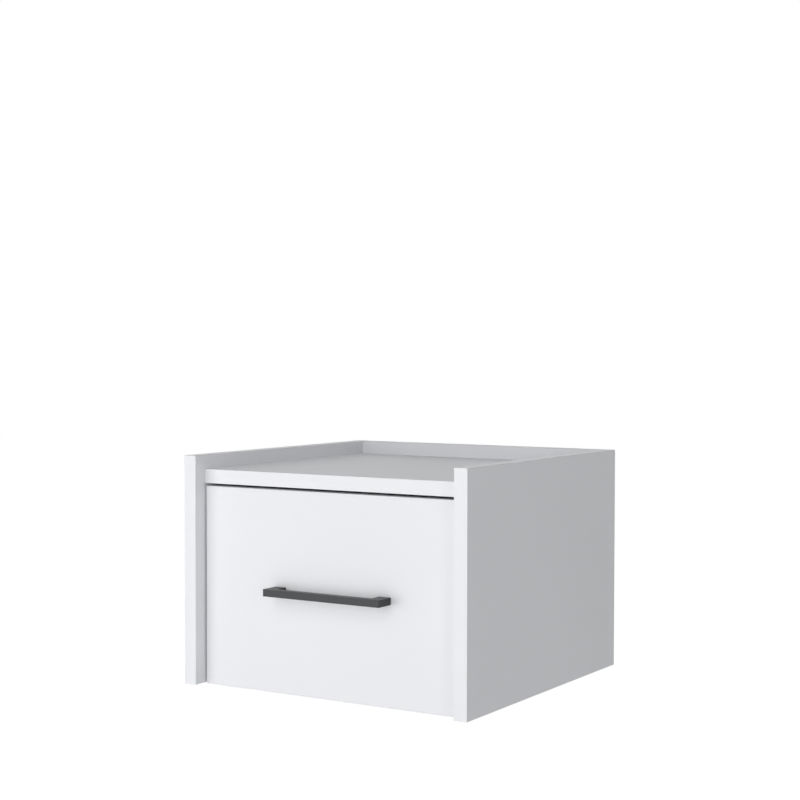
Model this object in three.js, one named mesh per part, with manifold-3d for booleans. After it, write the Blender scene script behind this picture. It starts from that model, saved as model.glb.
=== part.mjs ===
// Floating nightstand with one drawer, in millimetres, +Z up.
// The wall is the plane y = 0, the drawer opens towards -Y, and the origin is the centre of
// the back panel's wall face. Inside the group, heights count from the side panels' lower edges.

import * as THREE from 'three';
import { mergeVertices } from 'three/addons/utils/BufferGeometryUtils.js';
import Module from 'manifold-3d';

const wasm = await Module();
wasm.setup();

// Case
const width = 345; // over the two side panels
const depth = 340; // from the wall to the side panels' front edges
const height = 244; // of a side panel
const boardThickness = 15; // of the case and of the drawer front
const trayDepth = 15; // how far the sides and the back rise above the shelf
const frontInset = 16.5; // of the shelf and the drawer front behind the sides' front edges
const bottomSetback = 2; // of the bottom panel behind the drawer front
const buttGap = 0.1; // between two boards, or a board and what is screwed on it

// Drawer front
const frontSideGap = 1.5;
const frontTopGap = 2.2;
const frontDrop = 1; // how far the front hangs below the side panels

// Pull, one piece with a leg at each end of a square bar
const pullSpacing = 128; // between its two screws
const pullLegWidth = 13.5;
const pullBarHeight = 7.5;
const pullBarDepth = 8;
const pullProjection = 22;
const pullCornerRadius = 0.8;
const pullOffset = 5.5; // of its centre, right of the front's centre
const pullRise = 107.5; // of its centre above the front's lower edge
const pullScrewRadius = 2;
const pullScrewReach = 8; // into the leg
const pullScrewHeadRadius = 4;
const pullScrewHeadHeight = 2.4;

// Drawer box
const boxThickness = 12;
const boxLift = 12; // above the bottom panel
const boxHeadroom = 37; // below the shelf
const boxRearSpace = 18.5; // in front of the back panel
const floorThickness = 3;
const floorRise = 10; // above the lower edges of the drawer sides
const grooveDepth = 6;
const grooveGap = 0.25; // above and below the floor, and at its edges

// Runners, three rolled members with two ball cages between them
const runnerHeight = 45;
const runnerSetback = 2; // behind the drawer front
const runnerRearSpace = 41.5; // in front of the back panel
const runnerRise = 60; // of the centre line above the drawer sides' lower edges
const sheet = 1.2; // steel of the three members
const bendRadius = 1.3; // on the centre line of the sheet
const ballRadius = 1.6;
const runGap = 0.3; // between a member, a ball, a cage and a screw head
const raceFlat = 1.72; // straight stretch between the drawer member's bend and its race
const cageSheet = 0.6;
const cageBendRadius = 0.8;
const stopWidth = 14; // tab bent up at the rear of the cabinet member
const stopReach = 9.5; // of that tab from the side panel
const accessRadius = 5; // hole in the middle member that a screwdriver passes
const slotRadius = 2.2; // of the slots that let a runner be adjusted before its screws go in
const slotLength = 8;
const slotStep = 32; // from a runner screw inwards to the next slot

// Screws of the runners and of the drawer's back
const runnerScrewFront = 37; // from the front end of a member
const runnerScrewRear = 20; // from its rear end
const runnerScrewRadius = 1.75;
const runnerScrewHeadRadius = 3.5;
const runnerScrewHeadHeight = 1.5;
const screwSkin = 1.5; // board left in front of a runner screw's tip
const screwTip = 2.5;
const backScrewRadius = 1.75;
const backScrewLength = 35;
const backScrewHeadRadius = 3.5;
const backScrewHeadHeight = 2.4;
const backScrewInset = 30; // from the upper and lower edge of the drawer's back

// Cams, cam bolts and dowels
const camRadius = 7.5; // in the case
const camReach = 34; // from the joint to the middle of the cam
const drawerCamRadius = 6;
const drawerCamReach = 24;
const camSkin = 2.5; // board left under the cam
const camSink = 0.3; // of the cam's top below the face
const camSlotDepth = 2;
const camSlotWidth = 1.6;
const fitGap = 0.25; // round a fitting in its hole
const boltRadius = 2.2;
const boltNeckRadius = 1.5;
const boltHeadRadius = 2.5;
const boltHeadLength = 2.4;
const boltNeckLength = 4;
const boltCollarRadius = 3.4;
const boltCollarLength = 1.4;
const boltBoreRadius = 4;
const blindSkin = 4; // board left beyond a blind hole
const dowelRadius = 3.8;
const dowelReach = 21; // into the end grain
const dowelChamfer = 0.8;
const dowelEndGap = 0.8;
const fittingInset = 50; // from a panel's front or rear edge
const backDowelInset = 45; // from the back panel's upper and lower edge
const drawerCamDrop = 30; // below the upper edge of a drawer side
const drawerDowelRise = 25; // above its lower edge

// Holes for the wall screws
const wallHoleRadius = 3;
const wallHoleInset = 40; // from the side panels
const wallHoleDrop = 30; // below the shelf
const wallHoleRise = 30; // above the bottom panel

// Shares, counts and angles
const cageLengthShare = 0.36; // of a runner's length
const camSlotShare = 0.62; // of a cam's diameter
const ballsPerRow = 5;
const roundSides = 20; // of a cam and its bore
const smallSides = 10; // of a pin, a screw and their holes
const ballSides = 8; // round a ball, and half as many from pole to pole
const slotEndSteps = 4; // round the end of a slot
const pullCornerSteps = 3;
const degreesPerStep = 24; // of an arc
const raceTiltDegrees = 49; // from one row of balls down to the next
const cabinetLipDegrees = 5;
const middleLipDegrees = 45;
const drawerLipDegrees = -150;

const overrun = 1; // of a cutting shape past the face it enters

// Places that follow from the sizes above
const innerHalf = width / 2 - boardThickness;
const shelfTop = height - trayDepth;
const shelfUnder = shelfTop - boardThickness;
const frontFace = frontInset - depth;
const frontRear = frontFace + boardThickness;
const backFace = -boardThickness;
const bottomFront = frontRear + bottomSetback;
const raceRadius = ballRadius + runGap + sheet / 2;
const raceTilt = THREE.MathUtils.degToRad(raceTiltDegrees);
const middleWeb = sheet + runnerScrewHeadHeight + runGap + cageSheet + runGap + sheet / 2;
const outerBall = new THREE.Vector2(middleWeb + bendRadius, runnerHeight / 2 - sheet / 2 - raceRadius);
const innerBall = new THREE.Vector2(
  outerBall.x + 2 * raceRadius * Math.cos(raceTilt),
  outerBall.y - 2 * raceRadius * Math.sin(raceTilt),
);
const drawerWeb = innerBall.x + raceFlat + bendRadius;
const runnerThickness = drawerWeb + sheet / 2;
const runnerLength = backFace - runnerRearSpace - (frontRear + runnerSetback);
const boxHalf = innerHalf - runnerThickness - 2 * buttGap;
const boxInner = boxHalf - boxThickness;
const boxLow = boardThickness + boxLift;
const boxHigh = shelfUnder - boxHeadroom;
const boxRear = backFace - boxRearSpace;
const floorLow = boxLow + floorRise;
const floorHigh = floorLow + floorThickness;
const frontLow = -frontDrop;
const frontHigh = shelfUnder - frontTopGap;
const pullHeight = frontLow + pullRise;

// Finishes
const whiteBoard = { color: 0xeceef1, roughness: 0.5, metalness: 0 };
const whiteFloor = { color: 0xe9ebee, roughness: 0.6, metalness: 0 };
const graphite = { color: 0x565759, roughness: 0.45, metalness: 0.6 };
const zincPlate = { color: 0xb9bcc0, roughness: 0.35, metalness: 1 };
const zincCast = { color: 0x9c9fa3, roughness: 0.45, metalness: 1 };
const beech = { color: 0xc9a376, roughness: 0.75, metalness: 0 };

// Turns a closed geometry into a solid that can be cut and joined.
function solidOf(geometry) {
  const bare = geometry.clone();
  bare.deleteAttribute('normal');
  bare.deleteAttribute('uv');
  const merged = mergeVertices(bare);
  const corners = merged.index.array;
  const triangles = [];
  for (let i = 0; i < corners.length; i += 3) {
    const [a, b, c] = corners.slice(i, i + 3);
    // A lathe leaves triangles without area where its profile meets the axis.
    if (a !== b && b !== c && c !== a) triangles.push(a, b, c);
  }
  const vertProperties = new Float32Array(merged.attributes.position.array);
  const triVerts = new Uint32Array(triangles);
  return new wasm.Manifold(new wasm.Mesh({ numProp: 3, vertProperties, triVerts }));
}

function geometryOf(solid) {
  const { vertProperties, triVerts } = solid.getMesh();
  const indexed = new THREE.BufferGeometry();
  indexed.setAttribute('position', new THREE.BufferAttribute(vertProperties, 3));
  indexed.setIndex(new THREE.BufferAttribute(triVerts, 1));
  const faceted = indexed.toNonIndexed();
  faceted.computeVertexNormals();
  return faceted;
}

function piece(name, geometry, finish, parent) {
  const mesh = new THREE.Mesh(geometry, new THREE.MeshStandardMaterial(finish));
  mesh.name = name;
  parent.add(mesh);
  return mesh;
}

// A box from its lowest to its highest corner.
function blockGeometry(low, high) {
  const size = high.map((value, i) => value - low[i]);
  const middle = high.map((value, i) => (value + low[i]) / 2);
  return { geometry: new THREE.BoxGeometry(...size), middle };
}

function boardPiece(name, low, high, finish, parent) {
  const { geometry, middle } = blockGeometry(low, high);
  const mesh = piece(name, geometry, finish, parent);
  mesh.position.set(...middle);
  return mesh;
}

// Cutting shapes belong to a frame, the group in whose coordinates they are drawn.
function blockCutter(frame, low, high) {
  const { geometry, middle } = blockGeometry(low, high);
  return { frame, geometry: geometry.translate(...middle) };
}

// A hole along the frame's X axis, through (y, z), between two places on that axis.
function boreX(frame, from, to, y, z, radius, sides) {
  const geometry = new THREE.CylinderGeometry(radius, radius, to - from, sides);
  geometry.rotateZ(Math.PI / 2);
  geometry.translate((from + to) / 2, y, z);
  return { frame, geometry };
}

// The same along the frame's Z axis, through (x, y).
function boreZ(frame, x, y, from, to, radius, sides) {
  const geometry = new THREE.CylinderGeometry(radius, radius, to - from, sides);
  geometry.rotateX(Math.PI / 2);
  geometry.translate(x, y, (from + to) / 2);
  return { frame, geometry };
}

// A slot with round ends, along the frame's Z axis or, turned, along its Y axis.
function slotX(frame, from, to, place, turned) {
  const half = slotLength / 2 - slotRadius;
  const shape = new THREE.Shape();
  shape.absarc(half, 0, slotRadius, -Math.PI / 2, Math.PI / 2);
  shape.absarc(-half, 0, slotRadius, Math.PI / 2, Math.PI * 3 / 2);
  const geometry = new THREE.ExtrudeGeometry(shape, {
    depth: to - from,
    bevelEnabled: false,
    curveSegments: slotEndSteps,
  });
  geometry.rotateY(Math.PI / 2);
  if (turned) geometry.rotateX(Math.PI / 2);
  geometry.translate(from, 0, place);
  return { frame, geometry };
}

function cut(mesh, cutters) {
  mesh.updateWorldMatrix(true, false);
  const toMesh = mesh.matrixWorld.clone().invert();
  let solid = solidOf(mesh.geometry);
  for (const { frame, geometry } of cutters) {
    frame.updateWorldMatrix(true, false);
    const placed = geometry.clone().applyMatrix4(toMesh.clone().multiply(frame.matrixWorld));
    solid = solid.subtract(solidOf(placed));
  }
  mesh.geometry = geometryOf(solid);
}

// A group at a point, with its X and Z axes along two given directions.
function frameAt(point, xAxis, zAxis, parent) {
  const x = new THREE.Vector3(...xAxis);
  const z = new THREE.Vector3(...zAxis);
  const y = new THREE.Vector3().crossVectors(z, x);
  const frame = new THREE.Group();
  frame.position.set(...point);
  frame.setRotationFromMatrix(new THREE.Matrix4().makeBasis(x, y, z));
  parent.add(frame);
  return frame;
}

// A turned piece on the X axis. Its profile is a list of [place on the axis, radius].
function turnedX(profile, sides) {
  const points = profile.map(([along, radius]) => new THREE.Vector2(radius, along));
  const geometry = new THREE.LatheGeometry(points, sides);
  geometry.rotateZ(-Math.PI / 2);
  return geometryOf(solidOf(geometry));
}

// Pan-head screw that enters the wood along +X, with the underside of its head at zero.
function panScrewGeometry(length, radius, headRadius, headHeight) {
  return turnedX([
    [-headHeight, 0],
    [-headHeight, headRadius - headHeight / 2],
    [-headHeight / 2, headRadius],
    [0, headRadius],
    [0, radius],
    [length - screwTip, radius],
    [length, 0],
  ], smallSides);
}

// Countersunk screw along +X, with the top of its head at zero.
function flatScrewGeometry(length, radius, headRadius, headHeight) {
  return turnedX([
    [0, 0],
    [0, headRadius],
    [headHeight, radius],
    [length - screwTip, radius],
    [length, 0],
  ], smallSides);
}

// Cam joint. Its frame lies on the joint, X runs into the board that holds the cam and Z
// points out of the face from which the cam is turned.
function camJoint(name, frame, hostThickness, radius, reach) {
  const boreDepth = hostThickness - camSkin;
  const face = hostThickness / 2;
  const camHigh = face - camSink;
  const camLow = face - boreDepth + fitGap;
  const boltDepth = boardThickness - blindSkin;
  const slotHalf = radius * camSlotShare;
  const headEnd = reach + boltHeadLength / 2;
  const neckStart = headEnd - boltHeadLength - boltNeckLength;

  const disc = boreZ(frame, reach, 0, camLow, camHigh, radius, roundSides);
  const cam = piece(`${name}_cam`, disc.geometry, zincCast, frame);
  const slotLow = camHigh - camSlotDepth;
  cut(cam, [
    boreX(frame, reach - radius - overrun, headEnd + fitGap, 0, 0, boltHeadRadius + fitGap, smallSides),
    blockCutter(
      frame,
      [reach - slotHalf, -camSlotWidth / 2, slotLow],
      [reach + slotHalf, camSlotWidth / 2, camHigh + overrun],
    ),
    blockCutter(
      frame,
      [reach - camSlotWidth / 2, -slotHalf, slotLow],
      [reach + camSlotWidth / 2, slotHalf, camHigh + overrun],
    ),
  ]);

  const boltGeometry = turnedX([
    [fitGap - boltDepth, 0],
    [fitGap - boltDepth, boltRadius],
    [buttGap, boltRadius],
    [buttGap, boltCollarRadius],
    [buttGap + boltCollarLength, boltCollarRadius],
    [buttGap + boltCollarLength, boltRadius],
    [neckStart, boltRadius],
    [neckStart, boltNeckRadius],
    [headEnd - boltHeadLength, boltNeckRadius],
    [headEnd - boltHeadLength, boltHeadRadius],
    [headEnd, boltHeadRadius],
    [headEnd, 0],
  ], smallSides);
  piece(`${name}_cam_bolt`, boltGeometry, zincPlate, frame);

  return {
    host: [
      boreZ(frame, reach, 0, face - boreDepth, face + overrun, radius + fitGap, roundSides),
      boreX(frame, -overrun, reach, 0, 0, boltBoreRadius, smallSides),
    ],
    mate: [boreX(frame, -boltDepth, overrun, 0, 0, boltRadius + fitGap, smallSides)],
  };
}

// Dowel joint, in a frame on the joint whose X axis runs into the board's end grain.
function dowelJoint(name, frame) {
  const blind = boardThickness - blindSkin;
  const from = dowelEndGap - blind;
  const to = dowelReach - dowelEndGap;
  const geometry = turnedX([
    [from, 0],
    [from, dowelRadius - dowelChamfer],
    [from + dowelChamfer, dowelRadius],
    [to - dowelChamfer, dowelRadius],
    [to, dowelRadius - dowelChamfer],
    [to, 0],
  ], smallSides);
  piece(`${name}_dowel`, geometry, beech, frame);
  return {
    host: [boreX(frame, -overrun, dowelReach, 0, 0, dowelRadius + fitGap, smallSides)],
    mate: [boreX(frame, -blind, overrun, 0, 0, dowelRadius + fitGap, smallSides)],
  };
}

// Points of an arc, without its first point, which ends the stretch before it.
function arcPoints(centre, radius, fromDegrees, toDegrees) {
  const steps = Math.ceil(Math.abs(toDegrees - fromDegrees) / degreesPerStep);
  return Array.from({ length: steps }, (_, i) => {
    const share = (i + 1) / steps;
    const angle = THREE.MathUtils.degToRad(THREE.MathUtils.lerp(fromDegrees, toDegrees, share));
    return new THREE.Vector2(
      centre.x + radius * Math.cos(angle),
      centre.y + radius * Math.sin(angle),
    );
  });
}

// Outline of a bent sheet whose centre line is given from the web's middle to one lip. The
// other half is its mirror image.
function bentSheetShape(upperHalf, thickness) {
  const lowerHalf = upperHalf.map((point) => new THREE.Vector2(point.x, -point.y)).reverse();
  const line = [...lowerHalf, ...upperHalf];
  const left = [];
  const right = [];
  line.forEach((point, i) => {
    const before = line[Math.max(i - 1, 0)];
    const after = line[Math.min(i + 1, line.length - 1)];
    const arrive = i > 0 ? point.clone().sub(before).normalize() : after.clone().sub(point).normalize();
    const leave = i < line.length - 1 ? after.clone().sub(point).normalize() : arrive;
    const along = arrive.clone().add(leave).normalize();
    const reach = thickness / 2 / along.dot(arrive);
    const side = new THREE.Vector2(-along.y, along.x).multiplyScalar(reach);
    left.push(point.clone().add(side));
    right.push(point.clone().sub(side));
  });
  return new THREE.Shape([...right, ...left.reverse()]);
}

// A rolled member or a cage: its section in X and Y, drawn out along Z.
function drawnOut(shape, from, to) {
  const geometry = new THREE.ExtrudeGeometry(shape, { depth: to - from, bevelEnabled: false });
  return geometry.translate(0, 0, from);
}

function cabinetSection() {
  const bendCentre = new THREE.Vector2(sheet / 2 + bendRadius, runnerHeight / 2 - sheet / 2 - bendRadius);
  return bentSheetShape([
    new THREE.Vector2(sheet / 2, bendCentre.y),
    ...arcPoints(bendCentre, bendRadius, 180, 90),
    new THREE.Vector2(outerBall.x, outerBall.y + raceRadius),
    ...arcPoints(outerBall, raceRadius, 90, cabinetLipDegrees),
  ], sheet);
}

function middleSection() {
  const bendCentre = new THREE.Vector2(outerBall.x, outerBall.y - raceRadius - bendRadius);
  return bentSheetShape([
    new THREE.Vector2(middleWeb, bendCentre.y),
    ...arcPoints(bendCentre, bendRadius, 180, 90),
    ...arcPoints(outerBall, raceRadius, -90, -raceTiltDegrees),
    ...arcPoints(innerBall, raceRadius, 180 - raceTiltDegrees, middleLipDegrees),
  ], sheet);
}

function drawerSection() {
  const bendCentre = new THREE.Vector2(drawerWeb - bendRadius, innerBall.y - raceRadius - bendRadius);
  return bentSheetShape([
    new THREE.Vector2(drawerWeb, bendCentre.y),
    ...arcPoints(bendCentre, bendRadius, 0, 90),
    new THREE.Vector2(innerBall.x, innerBall.y - raceRadius),
    ...arcPoints(innerBall, raceRadius, -90, drawerLipDegrees),
  ], sheet);
}

// A cage's web runs beside the middle member, and its two flanges hold the balls.
function cageSection(web, ball) {
  const bendCentre = new THREE.Vector2(web + cageBendRadius, ball.y - cageBendRadius);
  return bentSheetShape([
    new THREE.Vector2(web, bendCentre.y),
    ...arcPoints(bendCentre, cageBendRadius, 180, 90),
    new THREE.Vector2(ball.x + ballRadius - runGap, ball.y),
  ], cageSheet);
}

function cageGeometry(web, ball) {
  const cageLength = runnerLength * cageLengthShare;
  const from = (runnerLength - cageLength) / 2;
  const pitch = cageLength / ballsPerRow;
  let solid = solidOf(drawnOut(cageSection(web, ball), from, from + cageLength));
  for (let i = 0; i < ballsPerRow; i += 1) {
    for (const side of [-1, 1]) {
      const sphere = new THREE.SphereGeometry(ballRadius, ballSides, ballSides / 2);
      sphere.rotateX(Math.PI / 2);
      sphere.translate(ball.x, side * ball.y, from + (i + 1 / 2) * pitch);
      solid = solid.add(solidOf(sphere));
    }
  }
  return geometryOf(solid);
}

// One runner. Its frame has X from the side panel to the drawer, Y up or down, and Z from
// the rear end to the front.
function runner(side, frame) {
  const frontEnd = runnerLength;
  const rearEnd = sheet + runGap;
  const screwPlaces = [runnerScrewRear, frontEnd - runnerScrewFront];
  const holeRadius = runnerScrewRadius + fitGap;
  const webHoles = (from, to, radius) =>
    screwPlaces.map((place) => boreX(frame, from, to, 0, place, radius, smallSides));
  // The rear slot lies across the runner, the front one along it.
  const webSlots = (from, to) => [
    slotX(frame, from, to, screwPlaces[0] + slotStep, true),
    slotX(frame, from, to, screwPlaces[1] - slotStep, false),
  ];

  const cabinetSolid = solidOf(drawnOut(cabinetSection(), 0, frontEnd));
  const stop = blockGeometry([0, -stopWidth / 2, 0], [stopReach, stopWidth / 2, sheet]);
  const stopSolid = solidOf(stop.geometry.translate(...stop.middle));
  const cabinet = piece(
    `${side}_runner_cabinet_member`,
    geometryOf(cabinetSolid.add(stopSolid)),
    zincPlate,
    frame,
  );
  cut(cabinet, [
    ...webHoles(-overrun, sheet + overrun, holeRadius),
    ...webSlots(-overrun, sheet + overrun),
  ]);

  const outerCageWeb = middleWeb - sheet / 2 - runGap - cageSheet / 2;
  piece(`${side}_runner_outer_ball_cage`, cageGeometry(outerCageWeb, outerBall), zincPlate, frame);

  const middle = piece(
    `${side}_runner_middle_member`,
    drawnOut(middleSection(), rearEnd, frontEnd),
    zincPlate,
    frame,
  );
  cut(middle, webHoles(middleWeb - sheet, middleWeb + sheet, accessRadius));

  const innerCageWeb = middleWeb + sheet / 2 + runGap + cageSheet / 2;
  piece(`${side}_runner_inner_ball_cage`, cageGeometry(innerCageWeb, innerBall), zincPlate, frame);

  const drawer = piece(
    `${side}_runner_drawer_member`,
    drawnOut(drawerSection(), rearEnd, frontEnd),
    zincPlate,
    frame,
  );
  cut(drawer, [
    ...webHoles(drawerWeb - sheet, drawerWeb + sheet, holeRadius),
    ...webSlots(drawerWeb - sheet, drawerWeb + sheet),
  ]);

  // The same screw holds the cabinet member to the side panel and the drawer member to the
  // drawer side, so its length suits the thinner board.
  const screwDepth = Math.min(boardThickness, boxThickness) - screwSkin;
  const screwLength = sheet + buttGap + screwDepth;
  const holes = { sidePanel: [], drawerSide: [] };
  screwPlaces.forEach((place, i) => {
    const end = ['rear', 'front'][i];
    const screwGeometry = panScrewGeometry(
      screwLength,
      runnerScrewRadius,
      runnerScrewHeadRadius,
      runnerScrewHeadHeight,
    );
    const caseFrame = frameAt([sheet, 0, place], [-1, 0, 0], [0, 0, 1], frame);
    piece(`${side}_${end}_runner_screw`, screwGeometry, zincPlate, caseFrame);
    const drawerFrame = frameAt([drawerWeb - sheet / 2, 0, place], [1, 0, 0], [0, 0, 1], frame);
    piece(`${side}_${end}_drawer_runner_screw`, screwGeometry.clone(), zincPlate, drawerFrame);
    const hole = (holeFrame) =>
      boreX(holeFrame, 0, screwLength + fitGap, 0, 0, holeRadius, smallSides);
    holes.sidePanel.push(hole(caseFrame));
    holes.drawerSide.push(hole(drawerFrame));
  });
  return holes;
}

// The pull's outline from above: a bar with a leg at each end, its feet on the X axis.
function pullShape() {
  const end = (pullSpacing + pullLegWidth) / 2;
  const inner = end - pullLegWidth;
  const barRear = pullBarDepth - pullProjection;
  const shape = new THREE.Shape();
  shape.moveTo(-end, 0);
  shape.lineTo(-end, pullCornerRadius - pullProjection);
  shape.absarc(
    pullCornerRadius - end,
    pullCornerRadius - pullProjection,
    pullCornerRadius,
    Math.PI,
    Math.PI * 3 / 2,
  );
  shape.absarc(
    end - pullCornerRadius,
    pullCornerRadius - pullProjection,
    pullCornerRadius,
    -Math.PI / 2,
    0,
  );
  shape.lineTo(end, 0);
  shape.lineTo(inner, 0);
  shape.absarc(
    inner - pullCornerRadius,
    barRear + pullCornerRadius,
    pullCornerRadius,
    0,
    -Math.PI / 2,
    true,
  );
  shape.absarc(
    pullCornerRadius - inner,
    barRear + pullCornerRadius,
    pullCornerRadius,
    -Math.PI / 2,
    -Math.PI,
    true,
  );
  shape.lineTo(-inner, 0);
  shape.closePath();
  return shape;
}

const nightstand = new THREE.Group();
const body = new THREE.Group();
body.position.z = -height / 2;
nightstand.add(body);
const caseGroup = new THREE.Group();
const drawerGroup = new THREE.Group();
const runnerGroup = new THREE.Group();
body.add(caseGroup, drawerGroup, runnerGroup);

const sides = [
  { name: 'left', sign: -1 },
  { name: 'right', sign: 1 },
];
const innerEdge = innerHalf - buttGap;
const boardEnd = backFace - buttGap;

// Case boards
const sidePanels = sides.map(({ name, sign }) => {
  const xs = [sign * innerHalf, sign * width / 2].sort((a, b) => a - b);
  return boardPiece(`${name}_side_panel`, [xs[0], -depth, 0], [xs[1], 0, height], whiteBoard, caseGroup);
});
const shelf = boardPiece(
  'top_shelf',
  [-innerEdge, frontFace, shelfUnder],
  [innerEdge, boardEnd, shelfTop],
  whiteBoard,
  caseGroup,
);
const bottom = boardPiece(
  'bottom_panel',
  [-innerEdge, bottomFront, 0],
  [innerEdge, boardEnd, boardThickness],
  whiteBoard,
  caseGroup,
);
const back = boardPiece(
  'back_panel',
  [-innerEdge, backFace, 0],
  [innerEdge, 0, height],
  whiteBoard,
  caseGroup,
);

// Drawer boards
const front = boardPiece(
  'drawer_front',
  [frontSideGap - innerHalf, frontFace, frontLow],
  [innerHalf - frontSideGap, frontRear, frontHigh],
  whiteBoard,
  drawerGroup,
);
const boxFront = frontRear + buttGap;
const drawerSides = sides.map(({ name, sign }) => {
  const xs = [sign * boxInner, sign * boxHalf].sort((a, b) => a - b);
  return boardPiece(
    `drawer_${name}_side`,
    [xs[0], boxFront, boxLow],
    [xs[1], boxRear, boxHigh],
    whiteBoard,
    drawerGroup,
  );
});
const drawerBack = boardPiece(
  'drawer_back',
  [buttGap - boxInner, boxRear - boxThickness, floorHigh + grooveGap],
  [boxInner - buttGap, boxRear, boxHigh],
  whiteBoard,
  drawerGroup,
);
const grooveHalf = boxInner + grooveDepth;
boardPiece(
  'drawer_floor',
  [grooveGap - grooveHalf, frontRear - grooveDepth + grooveGap, floorLow],
  [grooveHalf - grooveGap, boxRear, floorHigh],
  whiteFloor,
  drawerGroup,
);
const frontCuts = [
  blockCutter(
    drawerGroup,
    [-grooveHalf, frontRear - grooveDepth, floorLow - grooveGap],
    [grooveHalf, frontRear + overrun, floorHigh + grooveGap],
  ),
];

// Pull and its two screws
const pull = piece(
  'drawer_pull',
  new THREE.ExtrudeGeometry(pullShape(), {
    depth: pullBarHeight,
    bevelEnabled: false,
    curveSegments: pullCornerSteps,
  }),
  graphite,
  drawerGroup,
);
pull.position.set(pullOffset, frontFace - buttGap, pullHeight - pullBarHeight / 2);
const pullScrewLength = boardThickness + buttGap + pullScrewReach;
const pullCuts = [];
for (const { name, sign } of sides) {
  const place = [pullOffset + sign * pullSpacing / 2, frontRear, pullHeight];
  const frame = frameAt(place, [0, -1, 0], [0, 0, 1], drawerGroup);
  const geometry = panScrewGeometry(
    pullScrewLength,
    pullScrewRadius,
    pullScrewHeadRadius,
    pullScrewHeadHeight,
  );
  piece(`pull_${name}_screw`, geometry, zincPlate, frame);
  const holeEnd = pullScrewLength + fitGap;
  const hole = boreX(frame, -overrun, holeEnd, 0, 0, pullScrewRadius + fitGap, smallSides);
  pullCuts.push(hole);
  frontCuts.push(hole);
}
cut(pull, pullCuts);

const shelfCuts = [];
const bottomCuts = [];
const backCuts = [];
const drawerBackCuts = [];
sides.forEach(({ name, sign }, i) => {
  const inward = [-sign, 0, 0];
  const outward = [sign, 0, 0];
  const sideCuts = [];
  const drawerSideCuts = [];
  const x = sign * innerHalf;

  // Shelf: two cams turned from below
  const shelfMiddle = (shelfTop + shelfUnder) / 2;
  const shelfPlaces = { front: frontFace + fittingInset, rear: backFace - fittingInset };
  for (const [end, y] of Object.entries(shelfPlaces)) {
    const frame = frameAt([x, y, shelfMiddle], inward, [0, 0, -1], caseGroup);
    const joint = camJoint(`shelf_${name}_${end}`, frame, boardThickness, camRadius, camReach);
    shelfCuts.push(...joint.host);
    sideCuts.push(...joint.mate);
  }

  // Bottom panel: a cam turned from above in front, and a dowel behind
  const camFrame = frameAt(
    [x, bottomFront + fittingInset, boardThickness / 2],
    inward,
    [0, 0, 1],
    caseGroup,
  );
  const bottomCam = camJoint(`bottom_${name}`, camFrame, boardThickness, camRadius, camReach);
  const dowelFrame = frameAt(
    [x, backFace - fittingInset, boardThickness / 2],
    inward,
    [0, 0, 1],
    caseGroup,
  );
  const bottomDowel = dowelJoint(`bottom_${name}`, dowelFrame);
  bottomCuts.push(...bottomCam.host, ...bottomDowel.host);
  sideCuts.push(...bottomCam.mate, ...bottomDowel.mate);

  // Back panel: two dowels
  const backPlaces = { lower: backDowelInset, upper: height - backDowelInset };
  for (const [end, z] of Object.entries(backPlaces)) {
    const frame = frameAt([x, backFace / 2, z], inward, [0, 0, 1], caseGroup);
    const joint = dowelJoint(`back_${name}_${end}`, frame);
    backCuts.push(...joint.host);
    sideCuts.push(...joint.mate);
  }

  // Runner
  const runnerPlace = [
    sign * (innerHalf - buttGap),
    frontRear + runnerSetback + runnerLength,
    boxLow + runnerRise,
  ];
  const runnerFrame = frameAt(runnerPlace, inward, [0, -1, 0], runnerGroup);
  const runnerHoles = runner(name, runnerFrame);
  sideCuts.push(...runnerHoles.sidePanel);
  drawerSideCuts.push(...runnerHoles.drawerSide);

  // Drawer side to drawer front: a cam turned from inside the drawer, and a dowel
  const sideMiddle = sign * (boxHalf + boxInner) / 2;
  const frontCamFrame = frameAt(
    [sideMiddle, frontRear, boxHigh - drawerCamDrop],
    [0, 1, 0],
    inward,
    drawerGroup,
  );
  const frontCam = camJoint(
    `drawer_${name}`,
    frontCamFrame,
    boxThickness,
    drawerCamRadius,
    drawerCamReach,
  );
  const frontDowelFrame = frameAt(
    [sideMiddle, frontRear, boxLow + drawerDowelRise],
    [0, 1, 0],
    inward,
    drawerGroup,
  );
  const frontDowel = dowelJoint(`drawer_${name}`, frontDowelFrame);
  drawerSideCuts.push(...frontCam.host, ...frontDowel.host);
  frontCuts.push(...frontCam.mate, ...frontDowel.mate);

  // Drawer side to drawer back: two countersunk screws
  const backScrewPlaces = {
    lower: floorHigh + backScrewInset,
    upper: boxHigh - backScrewInset,
  };
  for (const [end, z] of Object.entries(backScrewPlaces)) {
    const place = [sign * (boxHalf - buttGap), boxRear - boxThickness / 2, z];
    const frame = frameAt(place, inward, [0, 0, 1], drawerGroup);
    const geometry = flatScrewGeometry(
      backScrewLength,
      backScrewRadius,
      backScrewHeadRadius,
      backScrewHeadHeight,
    );
    piece(`drawer_back_${name}_${end}_screw`, geometry, zincPlate, frame);
    const holeEnd = backScrewLength + fitGap;
    const hole = boreX(frame, -overrun, holeEnd, 0, 0, backScrewRadius + fitGap, smallSides);
    const sinkRadius = backScrewHeadRadius + fitGap;
    const sink = boreX(frame, -overrun, backScrewHeadHeight, 0, 0, sinkRadius, smallSides);
    drawerSideCuts.push(hole, sink);
    drawerBackCuts.push(hole);
  }

  // Groove for the drawer's floor
  const grooveXs = [sign * (boxInner - overrun), sign * grooveHalf].sort((a, b) => a - b);
  drawerSideCuts.push(blockCutter(
    drawerGroup,
    [grooveXs[0], boxFront - overrun, floorLow - grooveGap],
    [grooveXs[1], boxRear + overrun, floorHigh + grooveGap],
  ));

  cut(sidePanels[i], sideCuts);
  cut(drawerSides[i], drawerSideCuts);
});

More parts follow.
